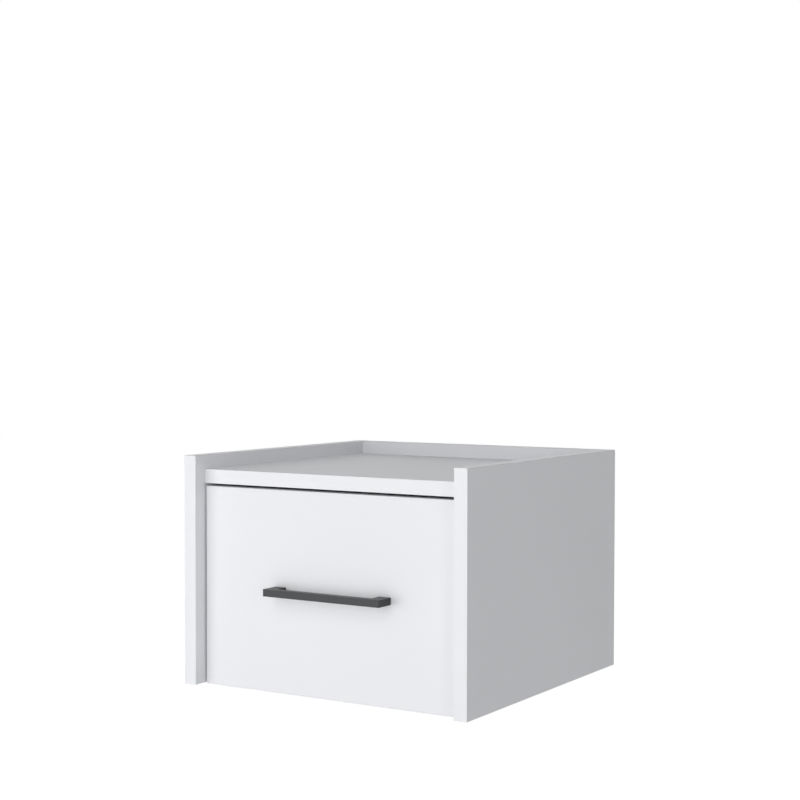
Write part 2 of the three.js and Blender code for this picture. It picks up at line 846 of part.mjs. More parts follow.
// Four holes in the back panel, reached with the drawer out
for (const { sign } of sides) {
  for (const z of [boardThickness + wallHoleRise, shelfUnder - wallHoleDrop]) {
    const frame = frameAt([sign * (innerHalf - wallHoleInset), 0, z], [0, -1, 0], [0, 0, 1], caseGroup);
    backCuts.push(boreX(frame, -overrun, boardThickness + overrun, 0, 0, wallHoleRadius, smallSides));
  }
}

cut(shelf, shelfCuts);
cut(bottom, bottomCuts);
cut(back, backCuts);
cut(front, frontCuts);
cut(drawerBack, drawerBackCuts);

export default nightstand;
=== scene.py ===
# %% [markdown]
# A floating nightstand in Blender: a white board case that hangs on the wall, one drawer on
# ball-bearing runners and a dark bar pull. The CAD model is loaded as a fixed frame, and every
# finished piece is made on it at the same place and in metres, so that it moves as its CAD piece
# does. The drawer opens towards -Y, +Z is up and the wall is the plane y = 0.

# %% Frame
import math

import bmesh
import bpy
from mathutils import Matrix, Vector


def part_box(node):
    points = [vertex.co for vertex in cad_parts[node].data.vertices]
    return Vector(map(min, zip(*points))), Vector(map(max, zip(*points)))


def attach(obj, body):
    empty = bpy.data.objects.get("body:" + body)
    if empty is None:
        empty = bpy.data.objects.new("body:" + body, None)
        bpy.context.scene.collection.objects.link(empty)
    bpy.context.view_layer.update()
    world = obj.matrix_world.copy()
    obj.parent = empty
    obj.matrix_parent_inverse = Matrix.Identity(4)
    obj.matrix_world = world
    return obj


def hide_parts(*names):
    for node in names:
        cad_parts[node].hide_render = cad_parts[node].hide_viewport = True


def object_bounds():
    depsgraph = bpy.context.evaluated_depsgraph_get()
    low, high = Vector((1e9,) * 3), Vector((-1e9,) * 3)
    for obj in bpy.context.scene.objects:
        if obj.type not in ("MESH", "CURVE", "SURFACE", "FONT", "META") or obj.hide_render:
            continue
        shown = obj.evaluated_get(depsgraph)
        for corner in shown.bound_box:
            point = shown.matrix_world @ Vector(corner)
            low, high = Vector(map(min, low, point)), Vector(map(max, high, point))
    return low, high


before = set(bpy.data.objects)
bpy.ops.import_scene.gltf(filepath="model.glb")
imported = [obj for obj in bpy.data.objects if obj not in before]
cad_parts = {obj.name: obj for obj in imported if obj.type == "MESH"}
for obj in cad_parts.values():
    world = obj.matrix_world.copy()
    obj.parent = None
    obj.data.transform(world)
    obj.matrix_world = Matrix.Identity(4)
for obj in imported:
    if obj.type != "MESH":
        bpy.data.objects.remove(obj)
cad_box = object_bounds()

# %% [markdown]
# The camera stands in front, to the right and a little above the shelf, and looks almost level.
# Its place, turn and focal length come from fitting the case's straight edges to the photograph,
# so the lens is given as that focal length over the width of the picture.

# %% Camera
IMAGE_SIDE = 800  # pixels
FOCAL_LENGTH = 1635.58  # pixels
SENSOR_WIDTH = 36.0  # millimetres
CAMERA_PLACE = Vector((0.93415, -1.69692, 0.23654))
CAMERA_YAW = -0.5529
CAMERA_PITCH = -0.0319
CAMERA_ROLL = 0.0018


def camera_turn(yaw, pitch, roll):
    """The camera's axes as a matrix: right, up, and away from what it looks at."""
    forward = Vector((
        math.sin(yaw) * math.cos(pitch),
        math.cos(yaw) * math.cos(pitch),
        math.sin(pitch),
    ))
    right = Vector((math.cos(yaw), -math.sin(yaw), 0.0))
    up = right.cross(forward)
    turn = Matrix((right, up, -forward)).transposed()
    return turn @ Matrix.Rotation(roll, 3, "Z")


camera = bpy.data.objects.new("camera", bpy.data.cameras.new("camera"))
camera.data.sensor_width = SENSOR_WIDTH
camera.data.lens = FOCAL_LENGTH / IMAGE_SIDE * SENSOR_WIDTH
camera.matrix_world = (
    Matrix.Translation(CAMERA_PLACE)
    @ camera_turn(CAMERA_YAW, CAMERA_PITCH, CAMERA_ROLL).to_4x4()
)
bpy.context.scene.collection.objects.link(camera)
bpy.context.scene.camera = camera
print("lens:", round(camera.data.lens, 2), "mm")

# %% [markdown]
# A finish is a small program of nodes. Wrapping a node's output in a class with the arithmetic
# operators lets a finish be written as it is thought, such as "0.4 plus a tenth of the noise",
# and one method makes every other node. The same two classes build the shape trees later on.


# %% Node helpers
class Reading:
    """What one node gives out. Arithmetic on readings adds the Math nodes that it needs."""

    def __init__(self, net, socket):
        self.net = net
        self.socket = socket

    def worked_out(self, operation, other=0):
        """A Math node on this reading and another one, or a number."""
        return self.net.add("ShaderNodeMath", {"operation": operation}, {0: self, 1: other})

    def output(self, name):
        """Another output of the same node."""
        return Reading(self.net, self.socket.node.outputs[name])

    def __add__(self, other):
        return self.worked_out("ADD", other)

    def __sub__(self, other):
        return self.worked_out("SUBTRACT", other)

    def __rsub__(self, other):
        return self.net.add("ShaderNodeMath", {"operation": "SUBTRACT"}, {0: other, 1: self})

    def __mul__(self, other):
        return self.worked_out("MULTIPLY", other)

    def __truediv__(self, other):
        return self.worked_out("DIVIDE", other)

    __radd__ = __add__
    __rmul__ = __mul__


class Net:
    """A node tree under construction, for a finish or for a shape."""

    def __init__(self, tree):
        self.tree = tree

    def feed(self, node, values):
        """Sets or links a node's inputs by name or number."""
        for key, value in values.items():
            socket = node.inputs[key]
            if isinstance(value, Reading):
                self.tree.links.new(value.socket, socket)
            else:
                socket.default_value = value

    def add(self, kind, settings=None, values=None):
        """Makes a node, its settings first, and gives its first output."""
        node = self.tree.nodes.new(kind)
        for name, setting in (settings or {}).items():
            setattr(node, name, setting)
        self.feed(node, values or {})
        return Reading(self, node.outputs[0]) if node.outputs else node


# %% [markdown]
# The photograph is a plain studio picture: everything behind the nightstand is white. The floor
# and the surroundings therefore show as white to the camera and in reflections, while the light
# that they give to the nightstand is set by itself. The floor also keeps the soft shadow of the
# hanging case, and it is clear from below, so that the underside can be looked at.

# %% Floor and surroundings
FLOOR_HEIGHT = -0.75
FLOOR_HALF_WIDTH = 12.0
FLOOR_COLOUR = (0.80, 0.80, 0.80, 1.0)
FLOOR_LIFT = 0.79  # what makes the lit floor white to the camera
FRONT_LIGHT = 0.13  # what the surroundings give from each side
REAR_LIGHT = 0.93
RIGHT_LIGHT = 0.21
SKY_COLOUR = (0.985, 0.99, 1.0, 1.0)
WHITE = (1.0, 1.0, 1.0, 1.0)


def seen_as_background(net):
    """1 for rays that come straight from the camera, a mirror or glass, and 0 for light."""
    path = net.add("ShaderNodeLightPath")
    seen = path.worked_out("MAXIMUM", path.output("Is Glossy Ray"))
    return seen.worked_out("MAXIMUM", path.output("Is Transmission Ray"))


def floor_finish():
    material = bpy.data.materials.new("studio_floor")
    material.use_nodes = True
    net = Net(material.node_tree)
    net.tree.nodes.clear()
    paper = net.add("ShaderNodeBsdfDiffuse", None, {"Color": FLOOR_COLOUR})
    lift = net.add("ShaderNodeEmission", None, {"Strength": seen_as_background(net) * FLOOR_LIFT})
    lit = net.add("ShaderNodeAddShader", None, {0: paper, 1: lift})
    clear = net.add("ShaderNodeBsdfTransparent")
    backfacing = net.add("ShaderNodeNewGeometry").output("Backfacing")
    shown = net.add("ShaderNodeMixShader", None, {0: backfacing, 1: lit, 2: clear})
    net.add("ShaderNodeOutputMaterial", None, {"Surface": shown})
    return material


def make_floor():
    w = FLOOR_HALF_WIDTH
    mesh = bpy.data.meshes.new("floor")
    corners = [(-w, -w), (w, -w), (w, w), (-w, w)]
    mesh.from_pydata([(x, y, FLOOR_HEIGHT) for x, y in corners], [], [(0, 1, 2, 3)])
    mesh.materials.append(floor_finish())
    floor = bpy.data.objects.new("floor", mesh)
    bpy.context.scene.collection.objects.link(floor)


def make_sky():
    world = bpy.data.worlds.new("studio")
    world.use_nodes = True
    net = Net(world.node_tree)
    net.tree.nodes.clear()
    direction = net.add("ShaderNodeTexCoord").output("Generated")
    axes = net.add("ShaderNodeSeparateXYZ", None, {0: direction})
    along_x, along_y = axes.output("X"), axes.output("Y")
    from_front = (along_y * -1).worked_out("MAXIMUM", 0)
    from_rear = along_y.worked_out("MAXIMUM", 0)
    from_right = along_x.worked_out("MAXIMUM", 0)
    light = from_front * FRONT_LIGHT + from_rear * REAR_LIGHT + from_right * RIGHT_LIGHT
    room = net.add("ShaderNodeBackground", None, {"Color": SKY_COLOUR, "Strength": light})
    white = net.add("ShaderNodeBackground", None, {"Color": WHITE, "Strength": 1.0})
    seen = seen_as_background(net)
    shown = net.add("ShaderNodeMixShader", None, {0: seen, 1: room, 2: white})
    net.add("ShaderNodeOutputWorld", None, {"Surface": shown})
    bpy.context.scene.world = world


make_floor()
make_sky()
bpy.context.scene.view_settings.view_transform = "Standard"
print("surroundings:", bpy.context.scene.world.name)

# %% [markdown]
# The drawer front, the shelf's edge and the side panels' front edges are equally bright in the
# photograph, the outer side is about half as bright, and the pull's shadow is soft on all sides.
# So three soft lamps stand in front, to the left and to the right, and make the shadows of the
# pull and of the side panels, and the surroundings light the other sides and soften the shadows.

# %% Lamps
LAMPS = [  # name, place, width, height, watts
    ("middle_lamp", Vector((0.0, -2.6, 0.75)), 1.8, 3.0, 29.0),
    ("left_lamp", Vector((-1.4, -2.4, 0.0)), 1.4, 1.5, 16.0),
    ("right_lamp", Vector((2.15, -1.95, 0.0)), 0.7, 1.4, 8.4),
]


def make_lamp(name, place, width, height, power):
    """A flat lamp that faces the middle of the nightstand."""
    light = bpy.data.lights.new(name, "AREA")
    light.shape = "RECTANGLE"
    light.size = width
    light.size_y = height
    light.energy = power
    lamp = bpy.data.objects.new(name, light)
    lamp.location = place
    middle = (cad_box[0] + cad_box[1]) / 2
    lamp.rotation_euler = (middle - place).to_track_quat("-Z", "Y").to_euler()
    bpy.context.scene.collection.objects.link(lamp)


for lamp in LAMPS:
    make_lamp(*lamp)
print("lamps:", len(LAMPS))

# %% [markdown]
# Finishes. Each one starts from a Principled shader whose fixed values stand on its own sockets.
# What varies over the surface comes from noise in Object coordinates, in metres, so a scale of
# 1000 gives marks about a millimetre apart. A stretch gives each axis a scale of its own, so that
# marks can run along a piece.

# %% Finish helpers
MM = 0.001


def new_finish(name, **fixed):
    """A material with a Principled shader, and the net that the rest of it is built in."""
    material = bpy.data.materials.new(name)
    material.use_nodes = True
    net = Net(material.node_tree)
    shader = net.tree.nodes["Principled BSDF"]
    for key, value in fixed.items():
        shader.inputs[key.replace("_", " ")].default_value = value
    return material, net, shader


def stretched(net, place, stretch):
    """Coordinates, multiplied along each axis."""
    return net.add("ShaderNodeVectorMath", {"operation": "MULTIPLY"}, {0: place, 1: stretch})


def object_place(net, stretch=(1, 1, 1)):
    return stretched(net, net.add("ShaderNodeTexCoord").output("Object"), stretch)


def noise(net, place, scale=1.0, detail=2.0):
    values = {"Vector": place, "Scale": scale, "Detail": detail, "Roughness": 0.5}
    return net.add("ShaderNodeTexNoise", None, values)


def blended(net, share, first, second):
    """A colour between two colours. Inputs 0, 6 and 7 and output 2 are the colours' sockets."""
    node = net.add("ShaderNodeMix", {"data_type": "RGBA"}).socket.node
    net.feed(node, {0: share, 6: first, 7: second})
    return Reading(net, node.outputs[2])


def between(limits, share):
    """A value that goes from the first limit to the second as the share goes from 0 to 1."""
    return limits[0] + share * (limits[1] - limits[0])


def bump(net, height, distance, strength):
    values = {"Height": height, "Distance": distance, "Strength": strength}
    return net.add("ShaderNodeBump", None, values)


# %% [markdown]
# White melamine is a printed paper pressed on the board with resin. It is satin, its white is a
# little cool, and the press plate leaves a fine pearly texture that only shows in a reflection.

# %% White melamine
MELAMINE_WHITE = (0.860, 0.867, 0.892, 1.0)
MELAMINE_SHADE = (0.846, 0.853, 0.878, 1.0)
MELAMINE_ROUGHNESS = (0.44, 0.50)
PEARL_HEIGHT = 0.02 * MM


def melamine_finish():
    material, net, shader = new_finish("white_melamine", IOR=1.5)
    place = object_place(net)
    cloud = noise(net, place, scale=7.0)
    pearl = noise(net, place, scale=900.0)
    net.feed(shader, {
        "Base Color": blended(net, cloud, MELAMINE_WHITE, MELAMINE_SHADE),
        "Roughness": between(MELAMINE_ROUGHNESS, cloud),
        "Normal": bump(net, pearl, PEARL_HEIGHT, strength=0.5),
    })
    return material


melamine = melamine_finish()
print("finish:", melamine.name)

# %% [markdown]
# The edge band is a strip of white plastic, glued on and then scraped to a small round. It is a
# touch glossier than the faces, and the scraper leaves very fine lines that run along the edge.
# The board's own coordinates come from an attribute, so that one finish suits every board: how far
# along the board, how far across, and how deep in it, from -1 at one face to 1 at the other.

# %% Edge band and glue line
BAND_WHITE = (0.862, 0.869, 0.893, 1.0)
BAND_SHADE = (0.842, 0.849, 0.874, 1.0)
BAND_ROUGHNESS = (0.34, 0.44)
SCRAPE_STRETCH = (9.0, 2600.0, 18.0)
SCRAPE_HEIGHT = 0.01 * MM
GLUE_PALE = (0.60, 0.58, 0.54, 1.0)
GLUE_DARK = (0.44, 0.41, 0.36, 1.0)
GLUE_ROUGHNESS = (0.5, 0.7)
BOARD_PLACE = "board_place"


def stored_place(net, attribute, stretch=(1, 1, 1)):
    """A piece's own coordinates from its attribute, multiplied along each axis."""
    place = net.add("ShaderNodeAttribute", {"attribute_name": attribute}).output("Vector")
    return stretched(net, place, stretch)


def band_finish():
    material, net, shader = new_finish("white_edge_band", IOR=1.5)
    scraped = noise(net, stored_place(net, BOARD_PLACE, SCRAPE_STRETCH))
    cloud = noise(net, object_place(net), scale=24.0)
    net.feed(shader, {
        "Base Color": blended(net, cloud, BAND_WHITE, BAND_SHADE),
        "Roughness": between(BAND_ROUGHNESS, scraped),
        "Normal": bump(net, scraped, SCRAPE_HEIGHT, strength=0.4),
    })
    return material


def glue_finish():
    material, net, shader = new_finish("glue_line")
    beads = noise(net, object_place(net), scale=420.0)
    net.feed(shader, {
        "Base Color": blended(net, beads, GLUE_PALE, GLUE_DARK),
        "Roughness": between(GLUE_ROUGHNESS, beads),
    })
    return material


band = band_finish()
glue_line = glue_finish()
print("finishes:", band.name, "and", glue_line.name)

# %% [markdown]
# Where a board isn't banded, and inside its bores, its particle board shows: fine dust pressed
# hard under each face, coarser flakes with small holes in the middle, and the white paper as a
# hair-thin line. The flakes lie flat, so the pattern is squeezed across the board.

# %% Raw board
FLAKE_PALE = (0.72, 0.56, 0.37, 1.0)
FLAKE_DARK = (0.36, 0.23, 0.12, 1.0)
DUST_TAN = (0.62, 0.47, 0.31, 1.0)
FACE_LAYER_START = 0.66  # share of the half thickness
FACE_LAYER_FADE = 0.12
PAPER_START = 0.975
PAPER_FADE = 0.005
FLAKE_STRETCH = (420.0, 420.0, 7.0)
SPLINTER_STRETCH = (500.0, 500.0, 22.0)
DUST_STRETCH = (1500.0, 1500.0, 30.0)
HOLE_STRETCH = (330.0, 330.0, 6.0)
FLAKE_SHARE = 0.55  # of the flakes' tone in the middle's colour, the rest is splinters
HOLES_END, HOLES_FADE = 0.30, 0.08
DUST_SHARE = 0.7
DUST_EVENNESS = 0.7
RAW_ROUGHNESS = (0.9, 0.5)  # wood, paper
RAW_HEIGHT = 0.3 * MM


def raised_step(value, start, width):
    """0 below a place, 1 past it, and even in between."""
    settings = {"interpolation_type": "LINEAR"}
    values = {"Value": value, "From Min": start, "From Max": start + width}
    return value.net.add("ShaderNodeMapRange", settings, values)


def raw_board_finish():
    material, net, shader = new_finish("raw_particle_board")
    place = stored_place(net, BOARD_PLACE)
    depth = net.add("ShaderNodeSeparateXYZ", None, {0: place}).output("Z").worked_out("ABSOLUTE")
    face_layer = raised_step(depth, FACE_LAYER_START, FACE_LAYER_FADE)
    paper = raised_step(depth, PAPER_START, PAPER_FADE)
    flakes = net.add("ShaderNodeTexVoronoi", None, {
        "Vector": stored_place(net, BOARD_PLACE, FLAKE_STRETCH), "Scale": 1.0,
        "Randomness": 1.0,
    })
    tone = net.add("ShaderNodeSeparateColor", None, {0: flakes.output("Color")})
    splinters = noise(net, stored_place(net, BOARD_PLACE, SPLINTER_STRETCH), detail=3.0)
    dust = noise(net, stored_place(net, BOARD_PLACE, DUST_STRETCH), detail=3.0)
    cells = noise(net, stored_place(net, BOARD_PLACE, HOLE_STRETCH))
    solid = raised_step(cells, HOLES_END, HOLES_FADE)
    mixed = tone * FLAKE_SHARE + splinters * (1 - FLAKE_SHARE)
    middle = blended(net, solid, FLAKE_DARK, blended(net, mixed, FLAKE_PALE, FLAKE_DARK))
    outer = blended(net, dust * DUST_SHARE, DUST_TAN, FLAKE_DARK)
    wood = blended(net, face_layer, middle, outer)
    height = (splinters + solid) * (1 - face_layer * DUST_EVENNESS)
    net.feed(shader, {
        "Base Color": blended(net, paper, wood, MELAMINE_WHITE),
        "Roughness": between(RAW_ROUGHNESS, paper),
        "Normal": bump(net, height, RAW_HEIGHT, strength=0.8),
    })
    return material


raw_board = raw_board_finish()
print("finish:", raw_board.name)

# %% [markdown]
# A board starts as the box of its CAD piece. It is split where its edge bands and glue lines end,
# each face gets its finish from where it lies, and then the banded edges are rounded by a bevel.
# Starting from the box keeps every board exactly at its place and size, and splitting before the
# bevel lets the rounding stay inside the band, as it does on the real edge. Only the drawer front
# ends a little lower than its box, because the dark gap under the shelf measures 2.9 mm.

# %% Board sizes
BAND_THICKNESS = 0.5 * MM
GLUE_WIDTH = 0.08 * MM
BAND_ROUNDING = 0.35 * MM
FRONT_TRIM = 0.7 * MM  # off the drawer front's upper edge
ROUNDING_STEPS = 3
SLIGHT = 0.001 * MM
ALIGNED = 0.5  # least cosine between a face's normal and the axis that it faces along
SHARP_EDGE = 0.5  # radians
FACE, BAND, GLUE, RAW = range(4)
BOARD_FINISHES = [melamine, band, glue_line, raw_board]
BANDED_SIDES = {
    "left_side_panel": ("-Y", "+Z", "-Z"),
    "right_side_panel": ("-Y", "+Z", "-Z"),
    "top_shelf": ("-Y",),
    "bottom_panel": ("-Y",),
    "back_panel": ("+Z", "-Z"),
    "drawer_front": ("-X", "+X", "+Z", "-Z"),
    "drawer_left_side": ("+Z",),
    "drawer_right_side": ("+Z",),
    "drawer_back": ("+Z",),
}


def side_plane(low, high, side):
    """A point on one side of a box, and the direction out of it, for a name such as -Y."""
    outward = Vector([float(axis == side[1]) for axis in "XYZ"])
    if side[0] == "-":
        return low, -outward
    return high, outward


def board_axes(low, high):
    """The numbers of a board's axes: its length, its width and its thickness."""
    size = high - low
    return sorted(range(3), key=lambda axis: -size[axis])


print("boards:", len(BANDED_SIDES))


# %% Board blanks
def add_block(shape, low, high):
    made = bmesh.ops.create_cube(shape, size=1.0)
    for vertex in made["verts"]:
        vertex.co = Vector([high[i] if vertex.co[i] > 0 else low[i] for i in range(3)])


def split_across(shape, point, direction):
    parts = shape.verts[:] + shape.edges[:] + shape.faces[:]
    bmesh.ops.bisect_plane(shape, geom=parts, plane_co=point, plane_no=direction, dist=SLIGHT)


def bevel(shape, edges, width, steps):
    """Rounds those of the edges that are sharp."""
    sharp = [edge for edge in edges if edge.calc_face_angle(0.0) > SHARP_EDGE]
    bmesh.ops.bevel(
        shape, geom=sharp, offset=width, offset_type="OFFSET", segments=steps, profile=0.5,
        affect="EDGES", clamp_overlap=True,
    )


def layer_of(face, planes, thickness_axis):
    """Which finish a face of the blank has, from how near it lies to a banded side."""
    centre = face.calc_center_median()
    depth = min((point - centre).dot(outward) for point, outward in planes)
    if depth < BAND_THICKNESS:
        return BAND
    if depth < BAND_THICKNESS + GLUE_WIDTH:
        return GLUE
    return FACE if abs(face.normal[thickness_axis]) > ALIGNED else RAW


def board_blank(low, high, banded):
    """A board before it is drilled."""
    shape = bmesh.new()
    add_block(shape, low, high)
    planes = [side_plane(low, high, side) for side in banded]
    for point, outward in planes:
        for depth in (BAND_THICKNESS, BAND_THICKNESS + GLUE_WIDTH):
            split_across(shape, point - outward * depth, outward)
    thickness_axis = board_axes(low, high)[2]
    shape.normal_update()
    for face in shape.faces:
        face.material_index = layer_of(face, planes, thickness_axis)

    def takes_round(face):
        """Whether a face is a banded side or one of the two wide faces."""
        centre = face.calc_center_median()
        banded_side = any(
            abs(face.normal.dot(outward)) > ALIGNED and (centre - point).dot(outward) > -SLIGHT
            for point, outward in planes
        )
        return banded_side or abs(face.normal[thickness_axis]) > ALIGNED

    rounded = [edge for edge in shape.edges if all(map(takes_round, edge.link_faces))]
    bevel(shape, rounded, BAND_ROUNDING, ROUNDING_STEPS)
    return shape


# %% [markdown]
# The bores and the floor's groove are cut as a workshop cuts them, at the fittings' own places.
# Every fitting whose box lies in a board gets a bore round it: one that ends just past the fitting
# where it is blind, and comes out of the face where the fitting is less than a millimetre from it.
# All the cutters of a board are joined in one mesh, so one Boolean drills the whole board, and it
# carries the cutters' material over, which leaves the raw board inside each bore.

# %% Bores
BORE_SIDES = 40
FIT_GAP = 0.25 * MM
DOWEL_END_GAP = 0.8 * MM
NEAR_FACE = 1.0 * MM
OVERRUN = 1.0 * MM
BOLT_BORE = 4.0 * MM  # in the board that holds the cam
BOLT_THREAD_BORE = 2.45 * MM
SCREW_BORE = 2.0 * MM
PULL_SCREW_BORE = 2.25 * MM
SINK_RADIUS = 3.75 * MM
SINK_DEPTH = 2.4 * MM


def add_bore(cutter, axis, centre, radius, start, end):
    """A cylinder along one axis, from one place on that axis to another."""
    direction = Vector([float(i == axis) for i in range(3)])
    middle = centre.copy()
    middle[axis] = (start + end) / 2
    turn = direction.to_track_quat("Z", "Y").to_matrix().to_4x4()
    bmesh.ops.create_cone(
        cutter, cap_ends=True, segments=BORE_SIDES, radius1=radius, radius2=radius,
        depth=end - start, matrix=Matrix.Translation(middle) @ turn,
    )


def boxes_meet(first, second):
    return all(first[0][i] < second[1][i] and second[0][i] < first[1][i] for i in range(3))


def fitting_bore(board, fitting):
    """The axis number, radius and end gap of a fitting's bore in a board."""
    low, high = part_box(fitting)
    size = high - low
    if fitting.endswith("_cam"):
        axis = min(range(3), key=lambda i: size[i])
        return axis, max(size) / 2 + FIT_GAP, FIT_GAP
    axis = max(range(3), key=lambda i: size[i])
    if fitting.endswith("_dowel"):
        return axis, min(size) / 2 + FIT_GAP, DOWEL_END_GAP
    if fitting.endswith("_cam_bolt"):
        in_host = boxes_meet(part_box(board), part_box(fitting.removesuffix("_bolt")))
        return axis, BOLT_BORE if in_host else BOLT_THREAD_BORE, FIT_GAP
    return axis, PULL_SCREW_BORE if fitting.startswith("pull") else SCREW_BORE, FIT_GAP


def bore_for(cutter, board, fitting):
    low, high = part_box(board)
    inner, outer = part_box(fitting)
    axis, radius, gap = fitting_bore(board, fitting)
    start, end = inner[axis] - gap, outer[axis] + gap
    if start < low[axis] + NEAR_FACE:
        start = low[axis] - OVERRUN
    if end > high[axis] - NEAR_FACE:
        end = high[axis] + OVERRUN
    add_bore(cutter, axis, (inner + outer) / 2, radius, start, end)


# %% Grooves, countersinks and wall holes
WALL_HOLE_RADIUS = 3.0 * MM
WALL_HOLE_INSET = 40.0 * MM  # from the side panels
WALL_HOLE_RISE = 30.0 * MM  # above the bottom panel, and below the shelf


def cut_floor_groove(cutter):
    low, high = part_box("drawer_floor")
    gap = Vector((FIT_GAP, FIT_GAP, FIT_GAP))
    add_block(cutter, low - gap, high + gap + Vector((0, OVERRUN, 0)))


def cut_countersinks(cutter, board):
    """Room for the heads of the drawer back's screws in the outer face of a drawer side."""
    low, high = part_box(board)
    side = board.split("_")[1]
    start, end = low.x - OVERRUN, low.x + SINK_DEPTH
    if side == "right":
        start, end = high.x - SINK_DEPTH, high.x + OVERRUN
    for row in ("lower", "upper"):
        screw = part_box(f"drawer_back_{side}_{row}_screw")
        add_bore(cutter, 0, (screw[0] + screw[1]) / 2, SINK_RADIUS, start, end)


def cut_wall_holes(cutter):
    low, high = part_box("back_panel")
    inner_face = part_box("right_side_panel")[0].x
    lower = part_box("bottom_panel")[1].z + WALL_HOLE_RISE
    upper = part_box("top_shelf")[0].z - WALL_HOLE_RISE
    for x in (WALL_HOLE_INSET - inner_face, inner_face - WALL_HOLE_INSET):
        for z in (lower, upper):
            centre = Vector((x, 0, z))
            add_bore(cutter, 1, centre, WALL_HOLE_RADIUS, low.y - OVERRUN, high.y + OVERRUN)


# %% [markdown]
# A modifier's result is made a plain mesh of its own by reading the evaluated object, the
# modifiers are cleared and the old mesh is deleted. Sharp edges are marked by their angle, and
# weighted normals keep the wide faces flat while the narrow rounding catches the light as a clean
# line.

# %% Settling a mesh
SMOOTH_BELOW = math.radians(40)


def mesh_object(name, shape, finishes):
    """An object from a bmesh, which is used up."""
    mesh = bpy.data.meshes.new(name)
    shape.to_mesh(mesh)
    shape.free()
    for finish in finishes:
        mesh.materials.append(finish)
    piece = bpy.data.objects.new(name, mesh)
    bpy.context.scene.collection.objects.link(piece)
    return piece


def evaluated_mesh(piece):
    """A plain mesh of the object as its modifiers leave it."""
    depsgraph = bpy.context.evaluated_depsgraph_get()
    return bpy.data.meshes.new_from_object(piece.evaluated_get(depsgraph), depsgraph=depsgraph)


def settle(piece):
    """Turns the live modifiers of an object into its mesh."""
    mesh = evaluated_mesh(piece)
    piece.modifiers.clear()
    old = piece.data
    piece.data = mesh
    bpy.data.meshes.remove(old)


def smooth_flat_faces(piece):
    piece.data.shade_smooth()
    piece.data.set_sharp_from_angle(angle=SMOOTH_BELOW)
    weighted = piece.modifiers.new("weighted", "WEIGHTED_NORMAL")
    weighted.keep_sharp = True
    weighted.weight = 100
    settle(piece)


def combine(piece, tool, operation, **settings):
    """An exact Boolean with a tool, which is used up."""
    boolean = piece.modifiers.new("combined", "BOOLEAN")
    boolean.operation = operation
    boolean.solver = "EXACT"
    for name, value in settings.items():
        setattr(boolean, name, value)
    boolean.object = tool
    settle(piece)
    bpy.data.objects.remove(tool)


def cut_out(piece, cutter, finish):
    """Takes one mesh of cutting shapes out of an object. The walls get the finish."""
    tool = mesh_object("cutter", cutter, [finish])
    combine(piece, tool, "DIFFERENCE", use_self=True, material_mode="TRANSFER")


def finished(piece, body, slot, *nodes):
    """Puts a finished piece on its body and in the place of its CAD nodes. The slot is not used.
    """
    piece.data.name = piece.name
    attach(piece, body)
    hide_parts(*nodes)
    return piece


# %% Boards
def mark_board_place(mesh, low, high):
    """Stores a board's own coordinates on its points, for the raw board and the bands."""
    along, across, through = board_axes(low, high)
    middle, half = (low + high) / 2, (high - low) / 2
    attribute = mesh.attributes.new(BOARD_PLACE, "FLOAT_VECTOR", "POINT")
    for vertex, place in zip(mesh.vertices, attribute.data):
        from_middle = vertex.co - middle
        place.vector = (
            from_middle[along], from_middle[across], from_middle[through] / half[through],
        )


def make_board(node):
    low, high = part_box(node)
    if node == "drawer_front":
        high.z -= FRONT_TRIM
    board = mesh_object(
        f"finished_{node}", board_blank(low, high, BANDED_SIDES[node]), BOARD_FINISHES,
    )
    cutter = bmesh.new()
    for fitting in FITTINGS:
        if boxes_meet((low, high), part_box(fitting)):
            bore_for(cutter, node, fitting)
    if node in ("drawer_front", "drawer_left_side", "drawer_right_side"):
        cut_floor_groove(cutter)
    if node in ("drawer_left_side", "drawer_right_side"):
        cut_countersinks(cutter, node)
    if node == "back_panel":
        cut_wall_holes(cutter)
    cut_out(board, cutter, raw_board)
    smooth_flat_faces(board)
    mark_board_place(board.data, low, high)
    body = "drawer" if node.startswith("drawer") else "case"
    return finished(board, body, "white_board", node)


FITTINGS = [
    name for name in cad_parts
    if name.endswith(("_cam", "_cam_bolt", "_dowel", "_screw"))
]
for node in BANDED_SIDES:
    board = make_board(node)
    print(board.name, len(board.data.polygons), "faces", len(board.data.materials), "finishes")

# %% [markdown]
# The drawer's floor is 3 mm hardboard, lacquered white above and below. Its sawn edges are brown
# fibre and lie in the grooves, but the rear one shows behind the drawer.

# %% Drawer floor
FIBRE_PALE = (0.30, 0.19, 0.105, 1.0)
FIBRE_DARK = (0.16, 0.09, 0.045, 1.0)
LACQUER_WHITE = (0.83, 0.838, 0.858, 1.0)
LACQUER_SHADE = (0.80, 0.808, 0.83, 1.0)
LACQUER_ROUGHNESS = (0.5, 0.62)
ROLLER_STRETCH = (1100.0, 260.0, 400.0)
ROLLER_HEIGHT = 0.03 * MM
FIBRE_ROUGHNESS = (0.85, 0.95)
FIBRE_STRETCH = (900.0, 900.0, 2600.0)
FIBRE_HEIGHT = 0.1 * MM


def lacquer_finish():
    material, net, shader = new_finish("white_lacquer", IOR=1.5)
    cloud = noise(net, object_place(net), scale=18.0)
    roller = noise(net, object_place(net, ROLLER_STRETCH))
    net.feed(shader, {
        "Base Color": blended(net, cloud, LACQUER_WHITE, LACQUER_SHADE),
        "Roughness": between(LACQUER_ROUGHNESS, roller),
        "Normal": bump(net, roller, ROLLER_HEIGHT, strength=0.5),
    })
    return material


